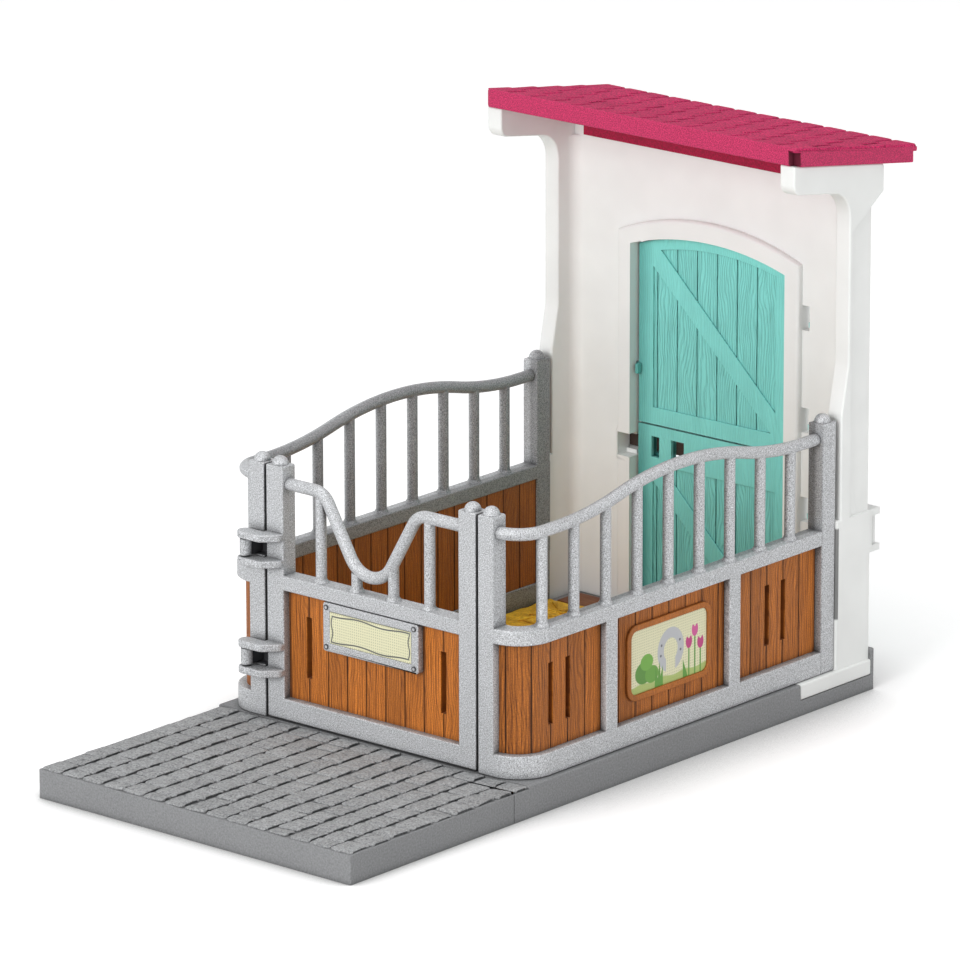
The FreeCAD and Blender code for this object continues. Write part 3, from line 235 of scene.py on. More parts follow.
# Name, place, target, width and watts of each lamp
LAMPS = (
    ("key_lamp", (0.3, -3.0, 1.4), (0, 0, 0.08), 1.2, 37),
    ("front_lamp", (0.4, -3.2, 0.5), (0, 0, 0.1), 1.8, 28),
    ("top_lamp", (0.1, -0.3, 2.8), (0, 0, 0), 1.6, 28),
    ("side_lamp", (1.0, 0.30, 0.30), (0, 0, 0.1), 0.5, 2.0),
)
CAMERA_PLACE = (1.70102, -1.98501, 0.84939)
CAMERA_AZIMUTH = math.radians(40.62934)
CAMERA_ELEVATION = math.radians(16.168)
CAMERA_ROLL = math.radians(-0.10583)
CAMERA_SENSOR = 36
CAMERA_LENS = 298.59


def colour(name, description, default):
    """Makes a colour setting."""
    return FloatVectorProperty(
        name=name, description=description, default=default, subtype="COLOR", size=3, min=0, max=1
    )


def length(name, description, default):
    """Makes a length setting."""
    return FloatProperty(
        name=name, description=description, default=default, unit="LENGTH", min=0, precision=4
    )


def number(name, description, default):
    """Makes a setting that counts things."""
    return IntProperty(name=name, description=description, default=default, min=1)


class StallColours(bpy.types.PropertyGroup):
    """Colours of the stall's finishes."""

    silver: colour("Silver", "Hammered paint of the fences and the gate", (0.51, 0.52, 0.535))
    # Near-black painted shade for the faces inside the hinge pockets
    pocket_shade: colour("Pocket", "Shaded pockets behind the gate's hinges", (0.045, 0.046, 0.05))
    # Colour of the painted shade round the rivet heads
    rivet_rim_shade: colour("Rivet", "Rims of the name plate's rivets", (0.07, 0.072, 0.078))
    plank: colour("Plank", "Light wood of the fence panels", (0.78, 0.245, 0.034))
    plank_dark: colour("Plank grain", "Dark grain of the fence panels", (0.15, 0.036, 0.006))
    sill: colour("Sill", "Light wood of the strip by the door", (0.25, 0.10, 0.04))
    raspberry: colour("Raspberry", "Roof", (0.52, 0.030, 0.115))
    # Darker copy of the roof colour, painted shade on the flange under the eave
    raspberry_shade: colour("Raspberry shade", "Flange under the roof", (0.36, 0.004, 0.045))
    # Dark colour of the roof's joints, also painted shade in the notch at its front corner and at the
    # tiles' feet
    raspberry_dark: colour("Raspberry joint", "Joints of the roof tiles", (0.11, 0.004, 0.02))
    turquoise: colour("Turquoise", "Door leaves", (0.25, 0.75, 0.695))
    # Dark turquoise of the grooves, also painted shade and shadow on the leaves
    turquoise_grooves_and_shade: colour("Turquoise shade", "Grooves of the door leaves", (0.02, 0.17, 0.16))
    white: colour("White", "Wall", (0.862, 0.875, 0.86))
    # Colour of the painted shadow in the gap beside each rear post
    gap: colour("Gap", "Gap between the wall and the fences", (0.09, 0.09, 0.09))
    stone: colour("Stone", "Paving", (0.35, 0.357, 0.363))
    cast: colour("Cast stone", "Plain sides of the base", (0.25, 0.254, 0.26))
    # Dark joint colour, also painted shade at the feet of the stones
    stone_dark: colour("Joint", "Joints of the paving", (0.07, 0.072, 0.075))
    straw: colour("Straw", "Light straw", (0.95, 0.58, 0.035))
    straw_dark: colour("Straw shade", "Dark straw", (0.55, 0.27, 0.010))
    paper: colour("Paper", "Ground of the labels", (0.80, 0.78, 0.53))
    paper_dark: colour("Paper dots", "Fine dots on the labels", (0.45, 0.45, 0.27))
    ink: colour("Ink", "Border line of the name label", (0.05, 0.06, 0.075))
    bolt: colour("Bolt", "Door bolt", (0.055, 0.035, 0.028))
    steel: colour("Steel", "Screws", (0.55, 0.55, 0.56))


class StallSizes(bpy.types.PropertyGroup):
    """Sizes of the stall's surface detail."""

    frame_edge: length("Frame edge", "Rounding of the fences' edges", 0.5 * MM)
    plate_corner: length("Plate corner", "Corner radius of the name plate", 1.0 * MM)
    border_edge: length("Border edge", "Rounding of the borders round the pictures", 0.35 * MM)
    wall_edge: length("Wall edge", "Rounding of the wall's edges", 0.7 * MM)
    surround_edge: length("Surround edge", "Soft outer edge of the door surround", 1.2 * MM)
    leaf_edge: length("Leaf edge", "Rounding of the door leaves' front edges", 0.22 * MM)
    bolt_edge: length("Bolt edge", "Rounding of the bolt's edges", 0.4 * MM)
    roof_edge: length("Roof edge", "Rounding of the roof's edges", 0.5 * MM)
    base_edge: length("Base edge", "Rounding of the base slabs", 0.5 * MM)
    stone_height: length("Stone height", "Height of a paving stone over its joints", 1.1 * MM)
    rim_drop: length("Rim drop", "Depth of the base's rim below the stones", 0.85 * MM)
    stone_margin: length("Stone margin", "Plain edge around the paving", 0.6 * MM)
    stone_length: length("Stone length", "Length of one paving stone", 10.6 * MM)
    stone_joint: length("Stone joint", "Gap between stones", 0.35 * MM)
    tile_step: length("Tile step", "Height of a tile's free end", 1.0 * MM)
    tile_joint: length("Tile joint", "Gap between tiles", 0.5 * MM)
    plank_width: length("Plank width", "Width of one plank of the fence panels", 8.9 * MM)
    groove_width: length("Groove width", "Width of the groove between two planks", 0.5 * MM)
    groove_depth: length("Groove depth", "Depth of the groove between two planks", 0.35 * MM)
    straw_radius: length("Straw radius", "Radius of a loose straw", 0.28 * MM)
    stone_rows: number("Stone rows", "Rows of stones across the base", 15)
    tile_columns: number("Tiles across", "Tiles in one course of the roof", 14)
    tile_courses: number("Tile courses", "Courses of tiles from front to back", 5)
    straw_count: number("Straws", "Loose straws on the bedding", 900)


def colours():
    """Gives the colour settings."""
    return bpy.context.scene.stall_colours


def sizes():
    """Gives the size settings."""
    return bpy.context.scene.stall_sizes


# Shading

class Shade:
    """A shader value that can be used in Python sums."""

    def __init__(self, paint, socket):
        self.paint = paint
        self.socket = socket

    def math(self, operation, *values):
        """Adds a Math node to this value."""
        return self.paint.node("ShaderNodeMath", {"operation": operation}, [self, *values])

    def __add__(self, other):
        return self.math("ADD", other)

    __radd__ = __add__

    def __sub__(self, other):
        return self.math("SUBTRACT", other)

    def __rsub__(self, other):
        return self.paint.node("ShaderNodeMath", {"operation": "SUBTRACT"}, [other, self])

    def __mul__(self, other):
        return self.math("MULTIPLY", other)

    __rmul__ = __mul__

    def __truediv__(self, other):
        return self.math("DIVIDE", other)

    def __lt__(self, other):
        return self.math("LESS_THAN", other)

    def __gt__(self, other):
        return self.math("GREATER_THAN", other)

    def __abs__(self):
        return self.math("ABSOLUTE")

    def __pow__(self, other):
        return self.math("POWER", other)

    def floor(self):
        """Rounds down."""
        return self.math("FLOOR")

    def sine(self):
        """Gives the sine of an angle in radians."""
        return self.math("SINE")

    def least(self, other):
        """Gives the smaller of two values."""
        return self.math("MINIMUM", other)

    def most(self, other):
        """Gives the larger of two values."""
        return self.math("MAXIMUM", other)

    def ease(self, low, high):
        """Rises smoothly from 0 at low to 1 at high."""
        settings = {"interpolation_type": "SMOOTHSTEP"}
        inputs = {"Value": self, "From Min": low, "From Max": high}
        return self.paint.node("ShaderNodeMapRange", settings, inputs)

    def wave(self, period, swing):
        """Swings to and fro over a period."""
        return (self * (2 * math.pi / period)).sine() * swing


def opaque(tint):
    """Gives a plain colour the fourth part that a socket needs."""
    return tint if isinstance(tint, Shade) else (*tint, 1)


class Paint:
    """Builds one material."""

    def __init__(self, name):
        self.start(bpy.data.materials.new(name), "Principled BSDF")

    def start(self, made, surface):
        """Starts on the nodes of a material or a world."""
        made.use_nodes = True
        self.made = made
        self.tree = made.node_tree
        self.surface = self.tree.nodes[surface]

    def node(self, kind, settings, inputs, output=0):
        """Adds a node, sets it up, fills its sockets and gives one of its outputs."""
        made = self.tree.nodes.new(kind)
        for name, value in settings.items():
            setattr(made, name, value)
        for key, value in inputs.items() if isinstance(inputs, dict) else enumerate(inputs):
            self.fill(made.inputs[key], value)
        return Shade(self, made.outputs[output])

    def fill(self, socket, value):
        """Links a shader value to a socket, or sets a plain one on it."""
        if isinstance(value, Shade):
            self.tree.links.new(value.socket, socket)
        else:
            socket.default_value = value

    def place(self):
        """Gives the point on the piece."""
        return self.node("ShaderNodeTexCoord", {}, {}, "Object")

    def split(self, vector):
        """Gives the three parts of a vector."""
        made = self.node("ShaderNodeSeparateXYZ", {}, [vector])
        return [Shade(self, socket) for socket in made.socket.node.outputs]

    def vector(self, x, y, z):
        """Puts a vector together."""
        return self.node("ShaderNodeCombineXYZ", {}, [x, y, z])

    def noise(self, vector, scale=1.0, detail=2.0, roughness=0.5):
        """Gives a soft random pattern from 0 to 1."""
        inputs = {"Vector": vector, "Scale": scale, "Detail": detail, "Roughness": roughness}
        return self.node("ShaderNodeTexNoise", {}, inputs)

    def chance(self, value):
        """Gives one random number for each whole value."""
        return self.node("ShaderNodeTexWhiteNoise", {"noise_dimensions": "1D"}, {"W": value})

    def mix(self, share, first, second):
        """Mixes two colours."""
        inputs = {0: share, 6: opaque(first), 7: opaque(second)}
        return self.node("ShaderNodeMix", {"data_type": "RGBA"}, inputs, 2)

    def shade(self, base, share):
        """Darkens or lightens a colour by a share."""
        settings = {"data_type": "RGBA", "blend_type": "MULTIPLY"}
        inputs = {0: 1.0, 6: opaque(base), 7: self.vector(share, share, share)}
        return self.node("ShaderNodeMix", settings, inputs, 2)

    def attribute(self, name):
        """Reads a number stored on the mesh."""
        return self.node("ShaderNodeAttribute", {"attribute_name": name}, {}, "Fac")

    def occlusion_shade(self, reach, amount):
        """Gives 1 in the open and less in nooks about as wide as the reach; multiplied into a colour, it
        is painted shade from ambient occlusion.
        """
        openness = self.node("ShaderNodeAmbientOcclusion", {"samples": 8}, {"Distance": reach}, "AO")
        return 1 - (1 - openness.ease(0.2, 0.95)) * amount

    def bump(self, height, distance, strength):
        """Turns a height into a surface direction."""
        inputs = {"Height": height, "Distance": distance, "Strength": strength}
        return self.node("ShaderNodeBump", {}, inputs)

    def sight(self):
        """Gives 1 to rays of the camera, also in gloss and through glass, and 0 to light."""
        seen = self.node("ShaderNodeLightPath", {}, {}, "Is Camera Ray")
        rays = seen.socket.node.outputs
        for name in ("Is Glossy Ray", "Is Transmission Ray"):
            seen = seen.most(Shade(self, rays[name]))
        return seen

    def finish(self, **inputs):
        """Fills the surface's own sockets and gives what was built."""
        for name, value in inputs.items():
            self.fill(self.surface.inputs[name.replace("_", " ")], value)
        return self.made


class Sky(Paint):
    """Builds the world."""

    def __init__(self, name):
        self.start(bpy.data.worlds.new(name), "Background")


def speckle(paint, at, scale, contrast):
    """Gives the fine grain of moulded plastic and the tone that it makes."""
    grain = paint.noise(at, scale, detail=2.5, roughness=0.6)
    cloud = paint.noise(at, 60)
    return grain, 0.94 - contrast / 2 + grain * contrast + cloud * 0.12


def moulded(name, base, dark=None):
    """Plastic or metal with the grain listed under its name, and dark joints where a colour is given."""
    return grainy(name, base, dark, **GRAIN[name])


def grainy(name, base, dark, scale, contrast, roughness, relief, metallic=0.0, lumps=0.0, occlusion_shade=0.2,
           gloss=SATIN):
    """Grainy finish; with a dark colour it also shows the tone and joint depth stored on the mesh, the
    joint depth darkening the feet of stones and tiles with the joint colour and as painted shade.
    """
    paint = Paint(name)
    at = paint.place()
    grain, tone = speckle(paint, at, scale, contrast)
    lump = paint.noise(at, 420, detail=3, roughness=0.6)
    tone = tone + (lump - 0.5) * (lumps * 0.22)
    tint = base
    if dark is not None:
        tint = paint.mix(paint.attribute("joint").ease(0.4, 0.95), base, dark)
        tone = tone * (0.92 + paint.attribute("tone") * 0.14)
    # The base colour is darkened in nooks by painted shade from ambient occlusion.
    return paint.finish(
        Base_Color=paint.shade(tint, tone * paint.occlusion_shade(3 * MM, occlusion_shade)),
        Metallic=metallic,
        Roughness=roughness + grain * 0.2,
        Specular_IOR_Level=gloss,
        Normal=paint.bump(grain + lump * lumps, relief, 0.8),
    )


def hammered_silver():
    """Silver paint with a fine hammered grain, with painted shade on the fences' inner sides, on the
    right rear post's front and in nooks.
    """
    paint = Paint("hammered_silver")
    at = paint.place()
    x, y, _ = paint.split(at)
    grain, tone = speckle(paint, at, 2600, 3.0)
    # Painted shade: the fences' inner sides behind the gate and a band on the right rear post's front are
    # darkened.
    inner = 1 - abs(x).ease(*RAIL_FADE)
    behind = y.ease(*FRONT_FADE)
    shaded = y.ease(*POST_SHADE) * (1 - y.ease(*POST_LIGHT)) * (x > 0.0)
    tone = tone * (1 - inner * behind * 0.46) * (1 - shaded * 0.25) * paint.occlusion_shade(5 * MM, 0.85)
    return paint.finish(
        Base_Color=paint.shade(colours().silver, tone),
        Metallic=0.15,
        Roughness=0.34 + grain * 0.2,
        Specular_IOR_Level=SATIN,
        Normal=paint.bump(grain, 0.16 * MM, 0.8),
    )


def count_planks(paint, across, shift=0):
    """Gives the place within a plank, the distance from its joints and the plank's random number."""
    index = across.floor()
    inside = across - index
    return inside, inside.least(1 - inside), paint.chance(index + shift)


def stained_planks(name, painted_light_level):
    """Brown planks with upright grain at a painted light level, with painted shade on their back faces,
    in their slots and in nooks; the map counts planks across and up.
    """
    paint = Paint(name)
    across, up, _ = paint.split(paint.node("ShaderNodeUVMap", {"uv_map": "planks"}, {}))
    at = paint.place()
    x, _, _ = paint.split(at)
    inside, edge, chance = count_planks(paint, across)
    border = abs(x).ease(*BORDER_FADE)
    joint = (1 - edge.ease(0.015, 0.06)) * (1 - border)
    depth = paint.attribute("depth")
    # Painted shade: a panel's back face is darker, and the walls of its slots take the dark grain colour.
    behind = depth.ease(0.9, 0.98)
    slot = depth.ease(0.1, 0.25) * (1 - behind)
    sway = paint.noise(paint.vector(across * 0.7, up * 0.22, chance * 9))
    rings = ((inside - 0.5 + (sway - 0.5) * 1.3 + chance * 0.7) * 48 + up * 0.5).sine()
    fibre = paint.noise(paint.vector(across * 24, up * 0.3, chance * 31), detail=3, roughness=0.7)
    pores = paint.noise(paint.vector(across * 38, up * 2.2, chance * 17)).ease(0.54, 0.70)
    speck = paint.noise(at, 2400, roughness=0.6)
    dark = rings.ease(0.1, 0.95) * 0.30 + fibre.ease(0.38, 0.68) * 0.62 + pores * 0.26
    dark = dark * (1 - border * 0.6) * (1 - behind * 0.35) + behind * 0.22
    base = paint.mix(dark.least(1.0), colours().plank, colours().plank_dark)
    tone = (0.86 + chance * 0.28) * (1 - joint * 0.66) * (1 - border * 0.2) * (1 - behind * 0.12)
    tone = tone * (0.4 + speck * 1.2)
    # The light level darkens or lightens the whole panel as painted shade.
    base = paint.shade(base, tone * paint.occlusion_shade(3 * MM, 0.6) * painted_light_level)
    return paint.finish(
        Base_Color=paint.mix(slot * 0.7, base, colours().plank_dark),
        Roughness=0.46 + fibre * 0.16,
        Specular_IOR_Level=SATIN,
        Normal=paint.bump(dark * -0.6, 0.35 * MM, 0.9),
    )


def wall_paint():
    """Smooth white plastic with a painted shadow of a gap beside each rear post, and painted shade in
    nooks.
    """
    paint = Paint("wall_plastic")
    at = paint.place()
    x, y, z = paint.split(at)
    cloud = paint.noise(at, 60)
    # Painted shadow: a dark strip beside each rear post stands for the shade in a gap.
    gap = (1 - y.ease(*GAP_FADE)) * (abs(x) > GAP_SIDE)
    gap = gap * z.ease(GAP_LOW, GAP_LOW + MM) * (1 - z.ease(GAP_HIGH - MM, GAP_HIGH))
    base = paint.mix(gap * 0.85, colours().white, colours().gap)
    return paint.finish(
        Base_Color=paint.shade(base, (0.94 + cloud * 0.12) * paint.occlusion_shade(3 * MM, 0.12)),
        Roughness=0.5,
        Specular_IOR_Level=SATIN,
    )


def door_paint():
    """Turquoise paint over planks with carved grain, with a painted shadow of the jamb by its free edge,
    painted shade on the leaf's sides and in nooks, and darker near the floor.
    """
    paint = Paint("door_paint")
    at = paint.place()
    x, y, z = paint.split(at)
    across = (x - DOOR_JOINT) / DOOR_PLANK
    up = z / DOOR_PLANK
    inside, edge, chance = count_planks(paint, across, shift=40)
    board = abs(x) < DOOR_HALF
    member = 1 - y.ease(*MEMBER_FADE)
    joint = (1 - edge.ease(0.010, 0.042)) * (1 - member) * board
    sway = paint.noise(paint.vector(across * 0.9, up * 0.30, chance * 9), detail=2.5)
    rings = ((inside - 0.5 + (sway - 0.5)) * 52 + up * 0.7).sine()
    fibre = paint.noise(paint.vector(across * 13, up * 0.8, chance * 31))
    carved = rings.ease(0.45, 0.98) * 0.75 + fibre.ease(0.52, 0.72) * 0.55
    carved = carved * (1 - member * 0.65) * board
    # Painted shade: the leaf's sides and window walls behind its front, and a painted shadow of the jamb
    # along its free edge.
    inner = y.ease(*LEAF_FADE) * (y < LEAF_BACK)
    low = 1 - z.ease(*DOOR_FOOT)
    corner = (1 - x.ease(*DOOR_FADE)) * (0.50 + low * 0.25)
    share = (carved * 0.15 + joint * 0.75 + corner + low * 0.24 + inner * 0.85).least(1.0)
    base = paint.mix(share, colours().turquoise, colours().turquoise_grooves_and_shade)
    cloud = paint.noise(at, 90)
    return paint.finish(
        Base_Color=paint.shade(base, (0.92 + cloud * 0.16) * paint.occlusion_shade(1.4 * MM, 0.5)),
        Roughness=0.46 + cloud * 0.1,
        Specular_IOR_Level=SATIN,
        Normal=paint.bump(carved * -0.8, 0.45 * MM, 0.9),
    )


def straw_paint():
    """Yellow straw, from light to dark."""
    paint = Paint("straw_paint")
    at = paint.place()
    patch = paint.noise(at, 260, detail=3, roughness=0.6)
    grain = paint.noise(at, 1700)
    share = (patch.ease(0.35, 0.7) * 0.7 + paint.attribute("tone") * 0.45).least(1.0)
    base = paint.mix(share, colours().straw_dark, colours().straw)
    return paint.finish(
        Base_Color=paint.shade(base, 0.5 + grain),
        Roughness=0.6 + grain * 0.15,
        Normal=paint.bump(patch + grain * 0.5, 0.5 * MM, 0.8),
    )


def sill_wood():
    """Brown floor strip with lengthwise grain."""
    paint = Paint("sill_wood")
    x, y, z = paint.split(paint.place())
    fibre = paint.noise(paint.vector(x * 120, y * 1500, z * 300), detail=3, roughness=0.6)
    return paint.finish(
        Base_Color=paint.mix(fibre.ease(0.3, 0.75), colours().plank_dark, colours().sill),
        Roughness=0.5 + fibre * 0.2,
        Normal=paint.bump(fibre, 0.15 * MM, 0.7),
    )


def rivet_paint():
    """Silver rivet heads with painted shade round their rim."""
    paint = Paint("rivet_silver")
    x, _, z = paint.split(paint.place())
    middle = (RIVETS_LOW + RIVETS_HIGH) / 2
    half = (RIVETS_HIGH - RIVETS_LOW) / 2
    off_x = abs(x - middle.x) - (half.x - RIVET_HEAD)
    off_z = abs(z - middle.z) - (half.z - RIVET_HEAD)
    # Painted shade: a dark ring round the edge of each rivet head.
    rim_shade = ((off_x * off_x + off_z * off_z) ** 0.5).ease(RIVET_HEAD * 0.45, RIVET_HEAD * 0.7)
    base = paint.mix(rim_shade, colours().silver, colours().rivet_rim_shade)
    return paint.finish(Base_Color=base, Metallic=0.3, Roughness=0.32)


# Printed labels

def dotted_paper(paint, across, up):
    """Cream paper with a fine dotted grid."""
    dot = 1.0
    for run in (across, up):
        cell = run / DOT_PITCH
        off = abs(cell - cell.floor() - 0.5)
        dot = (1 - off.ease(0.16, 0.32)) * dot
    fleck = paint.noise(paint.vector(across * 900, up * 900, 0.0))
    base = paint.mix(dot * 0.7, colours().paper, colours().paper_dark)
    return paint.shade(base, 0.92 + fleck * 0.14)


def name_paper():
    """Paper of the name label, with a plain wavy border line."""
    paint = Paint("name_paper")
    x, _, z = paint.split(paint.place())
    up = z - (NAME_LOW.z + NAME_HIGH.z) / 2
    half = (NAME_HIGH - NAME_LOW) / 2
    from_side = half.x - NAME_MARGIN - abs(x + up.wave(7 * MM, 0.32 * MM))
    from_top = half.z - NAME_MARGIN - abs(up + x.wave(21 * MM, 0.40 * MM))
    line = 1 - abs(from_side.least(from_top)).ease(0.16 * MM, 0.34 * MM)
    base = paint.mix(line * 0.92, dotted_paper(paint, x, up), colours().ink)
    return paint.finish(Base_Color=base, Roughness=0.5)


def blob(across, up, middle_x, middle_y, half_x, half_y):
    """Gives 1 inside an oval."""
    off_x = (across - middle_x) / half_x
    off_y = (up - middle_y) / half_y
    return 1 - (off_x * off_x + off_y * off_y).ease(0.90, 1.10)


def meadow(paint, base, across, up):
    """Prints a strip of grass with a wavy top."""
    ground = 1 - (up + (across * 0.55).sine() * 0.35).ease(-8.9, -8.3)
    return paint.mix(ground * 0.85, base, MEADOW)


def bushes(paint, base, across, up):
    """Prints three round bushes."""
    for x, rise, wide, tint in (
        (-13.2, -4.6, 4.6, (0.09, 0.26, 0.03)),
        (-8.9, -6.0, 3.6, (0.13, 0.34, 0.04)),
        (-11.6, -1.2, 3.4, (0.16, 0.40, 0.05)),
    ):
        base = paint.mix(blob(across, up, x, rise, wide, wide * 0.86), base, tint)
    return base


def horseshoe(paint, base, across, up):
    """Prints a grey horseshoe with four nails."""
    off = across - 1.2
    rise = up - 0.4
    radius = (off * off * 1.25 + rise * rise) ** 0.5
    mouth = (1 - abs(off).ease(2.3, 2.6)) * (up < 0.6)
    shoe = (1 - abs(radius - 6.0).ease(1.75, 2.0)) * (1 - mouth)
    nails = blob(abs(off), up, 4.9, 2.8, 0.5, 0.5).most(blob(abs(off), up, 5.3, -0.8, 0.5, 0.5))
    return paint.mix(nails * shoe, paint.mix(shoe, base, SHOE), NAIL)


def grass(paint, base, across, up):
    """Prints four pointed blades."""
    rise = up + 9.0
    for x, tall, lean in ((-6.4, 5.5, -0.10), (-5.0, 7.0, 0.05), (-3.8, 5.0, 0.16), (8.6, 4.5, -0.2)):
        blade = 1 - (abs(across - x - rise * lean) + rise * (0.9 / tall)).ease(0.75, 0.98)
        base = paint.mix(blade, base, BLADE)
    return base


def tulips(paint, base, across, up):
    """Prints three tulips."""
    for x, tall, tint in (
        (11.0, 9.4, (0.50, 0.04, 0.20)),
        (14.2, 13.0, (0.62, 0.09, 0.30)),
        (17.2, 8.0, (0.50, 0.04, 0.20)),
    ):
        stem = (1 - abs(across - x).ease(0.28, 0.42)) * (up < tall - 9.0)
        cup = blob(across, up, x, tall - 8.4, 1.7, 2.5)
        notch = (abs(across - x) + 0.3) < (up - (tall - 7.8))
        base = paint.mix(stem, base, BLADE)
        base = paint.mix(cup * (1 - notch), base, tint)
    return base


def picture_paper():
    """Printed sheet with a horseshoe, bushes, grass and flowers, drawn in millimetres from its middle."""
    paint = Paint("picture_paper")
    _, y, z = paint.split(paint.place())
    across = y - (LABEL_LOW.y + LABEL_HIGH.y) / 2
    up = z - (LABEL_LOW.z + LABEL_HIGH.z) / 2
    base = dotted_paper(paint, across, up)
    across = across / MM
    up = up / MM
    for draw in (meadow, bushes, horseshoe, grass, tulips):
        base = draw(paint, base, across, up)
    return paint.finish(Base_Color=base, Roughness=0.42)


# Modelling

def choose(*pieces):
    """Selects these objects alone; the last is the active one."""
    if bpy.context.object and bpy.context.object.mode != "OBJECT":
        bpy.ops.object.mode_set(mode="OBJECT")
    bpy.ops.object.select_all(action="DESELECT")
    for piece in pieces:
        piece.select_set(True)
    bpy.context.view_layer.objects.active = pieces[-1]


def edit(piece, kind="FACE"):
    """Opens a piece in edit mode with nothing selected, and gives its mesh."""
    choose(piece)
    bpy.ops.object.mode_set(mode="EDIT")
    bpy.ops.mesh.select_mode(type=kind)
    bpy.ops.mesh.select_all(action="DESELECT")
    return bmesh.from_edit_mesh(piece.data)


def leave():
    """Goes back to object mode."""
    bpy.ops.object.mode_set(mode="OBJECT")


def pick(piece, elements):
    """Selects faces, edges or points in edit mode."""
    for element in elements:
        element.select_set(True)
    bmesh.update_edit_mesh(piece.data)


def span(edge, axis):
    """Gives how far an edge reaches along an axis."""
    return abs((edge.verts[0].co - edge.verts[1].co).dot(axis))


def cad_copy(node, name):
    """Copies a CAD node as a clean mesh."""
    piece = bpy.data.objects.new(name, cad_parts[node].data.copy())
    bpy.context.scene.collection.objects.link(piece)
    piece.data.materials.clear()
    edit(piece)
    bpy.ops.mesh.select_all(action="SELECT")
    bpy.ops.mesh.customdata_custom_splitnormals_clear()
    bpy.ops.mesh.remove_doubles(threshold=MERGE)
    bpy.ops.mesh.dissolve_limited(angle_limit=math.radians(0.4))
    leave()
    return piece


def cut(piece, place, normal):
    """Adds a line of edges where a plane crosses a piece."""
    edit(piece)
    bpy.ops.mesh.select_all(action="SELECT")
    bpy.ops.mesh.bisect(plane_co=place, plane_no=normal, threshold=MERGE)
    leave()


def not_short(middle, edge):
    """Tells whether an edge is long enough to be rounded."""
    return edge.calc_length() > SHORT_EDGE


def any_edge(middle, edge):
    """Lets every edge be rounded."""
    return True


def round_edges(piece, width, segments, test):
    """Rounds the outer edges of a piece that pass a test on their middle and themselves."""
    mesh = edit(piece, "EDGE")
    found = []
    for edge in mesh.edges:
        if len(edge.link_faces) == 2 and edge.is_convex and edge.calc_face_angle() > SHARP:
            middle = (edge.verts[0].co + edge.verts[1].co) / 2
            if test(middle, edge):
                found.append(edge)
    pick(piece, found)
    if found:
        bpy.ops.mesh.bevel(offset=width, segments=segments, affect="EDGES", clamp_overlap=False)
        bpy.ops.mesh.select_all(action="SELECT")
        bpy.ops.mesh.dissolve_degenerate(threshold=MERGE)
    leave()


def smooth(piece, angle=38):
    """Shades soft faces smoothly and keeps sharp edges."""
    choose(piece)
    bpy.ops.object.shade_smooth_by_angle(angle=math.radians(angle))
    weights = piece.modifiers.new("weights", "WEIGHTED_NORMAL")
    weights.keep_sharp = True
    bpy.ops.object.modifier_apply(modifier=weights.name)


def dress(piece, material, body, slot, *nodes):
    """Gives a finished piece its material and body, and hides the CAD nodes it stands for; the slot is
    not used.
    """
    piece.data.materials.clear()
    piece.data.materials.append(material)
    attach(piece, body)
    if nodes:
        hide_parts(*nodes)


def paint_node(node, material):
    """Gives a CAD node that stays a better material."""
    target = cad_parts[node]
    target.data.materials.clear()
    target.data.materials.append(material)


def store(piece, name, values):
    """Stores a number on each point of a piece."""
    layer = piece.data.attributes.get(name) or piece.data.attributes.new(name, "FLOAT", "POINT")
    layer.data.foreach_set("value", values)


def placed_copy(model, matrix, tone, grow_x=0.0, grow_y=0.0):
    """Copies a small model to a place, made wider or longer, with a mesh and a tone of its own."""
    piece = bpy.data.objects.new(model.name, model.data.copy())
    for point in piece.data.vertices:
        point.co.x += math.copysign(0.5, point.co.x) * grow_x
        point.co.y += math.copysign(0.5, point.co.y) * grow_y
    piece.data.transform(matrix)
    bpy.context.scene.collection.objects.link(piece)
    store(piece, "tone", [tone] * len(piece.data.vertices))
    return piece


def second_material(piece, material, test):
    """Gives the faces of a dressed piece that pass a test on their place and normal another material."""
    piece.data.materials.append(material)
    for face in piece.data.polygons:
        if test(face.center, face.normal):
            face.material_index = len(piece.data.materials) - 1


def join(pieces, name):
    """Joins pieces into one object."""
    choose(*pieces)
    bpy.ops.object.join()
    joined = bpy.context.object
    joined.name = name
    return joined


def remove(piece):
    """Takes a working model away."""
    bpy.data.meshes.remove(piece.data)


def groove(piece, place, normal, facing, thickness):
    """Presses a groove into both faces of a board; facing gives a point's outward direction and depth."""
    rules = sizes()
    for share in (-0.5, 0, 0.5):
        cut(piece, place + normal * rules.groove_width * share, normal)
    for point in piece.data.vertices:
        if abs((point.co - place).dot(normal)) < 2 * MERGE:
            outward, depth = facing(point.co)
            if abs(depth) < NEAR:
                point.co -= outward * rules.groove_depth
            elif abs(depth - thickness) < NEAR:
                point.co += outward * rules.groove_depth


def rounded_block(name, width, depth, height, side, top, segments=2):
    """Models a block with rounded upright corners and a soft top, centred on its foot."""
    bpy.ops.object.select_all(action="DESELECT")
    bpy.ops.mesh.primitive_cube_add(size=1)
    piece = bpy.context.object
    piece.name = name
    stretch = Matrix.Diagonal((width, depth, height, 1))
    piece.data.transform(Matrix.Translation((0, 0, height / 2)) @ stretch)
    mesh = edit(piece, "EDGE")
    pick(piece, [edge for edge in mesh.edges if span(edge, ALONG_Z) > height / 2])
    bpy.ops.mesh.bevel(offset=side, segments=segments, affect="EDGES")
    mesh = edit(piece, "EDGE")
    pick(piece, [edge for edge in mesh.edges if min(v.co.z for v in edge.verts) > height * 0.99])
    bpy.ops.mesh.bevel(offset=top, segments=segments, affect="EDGES")
    leave()
    return piece


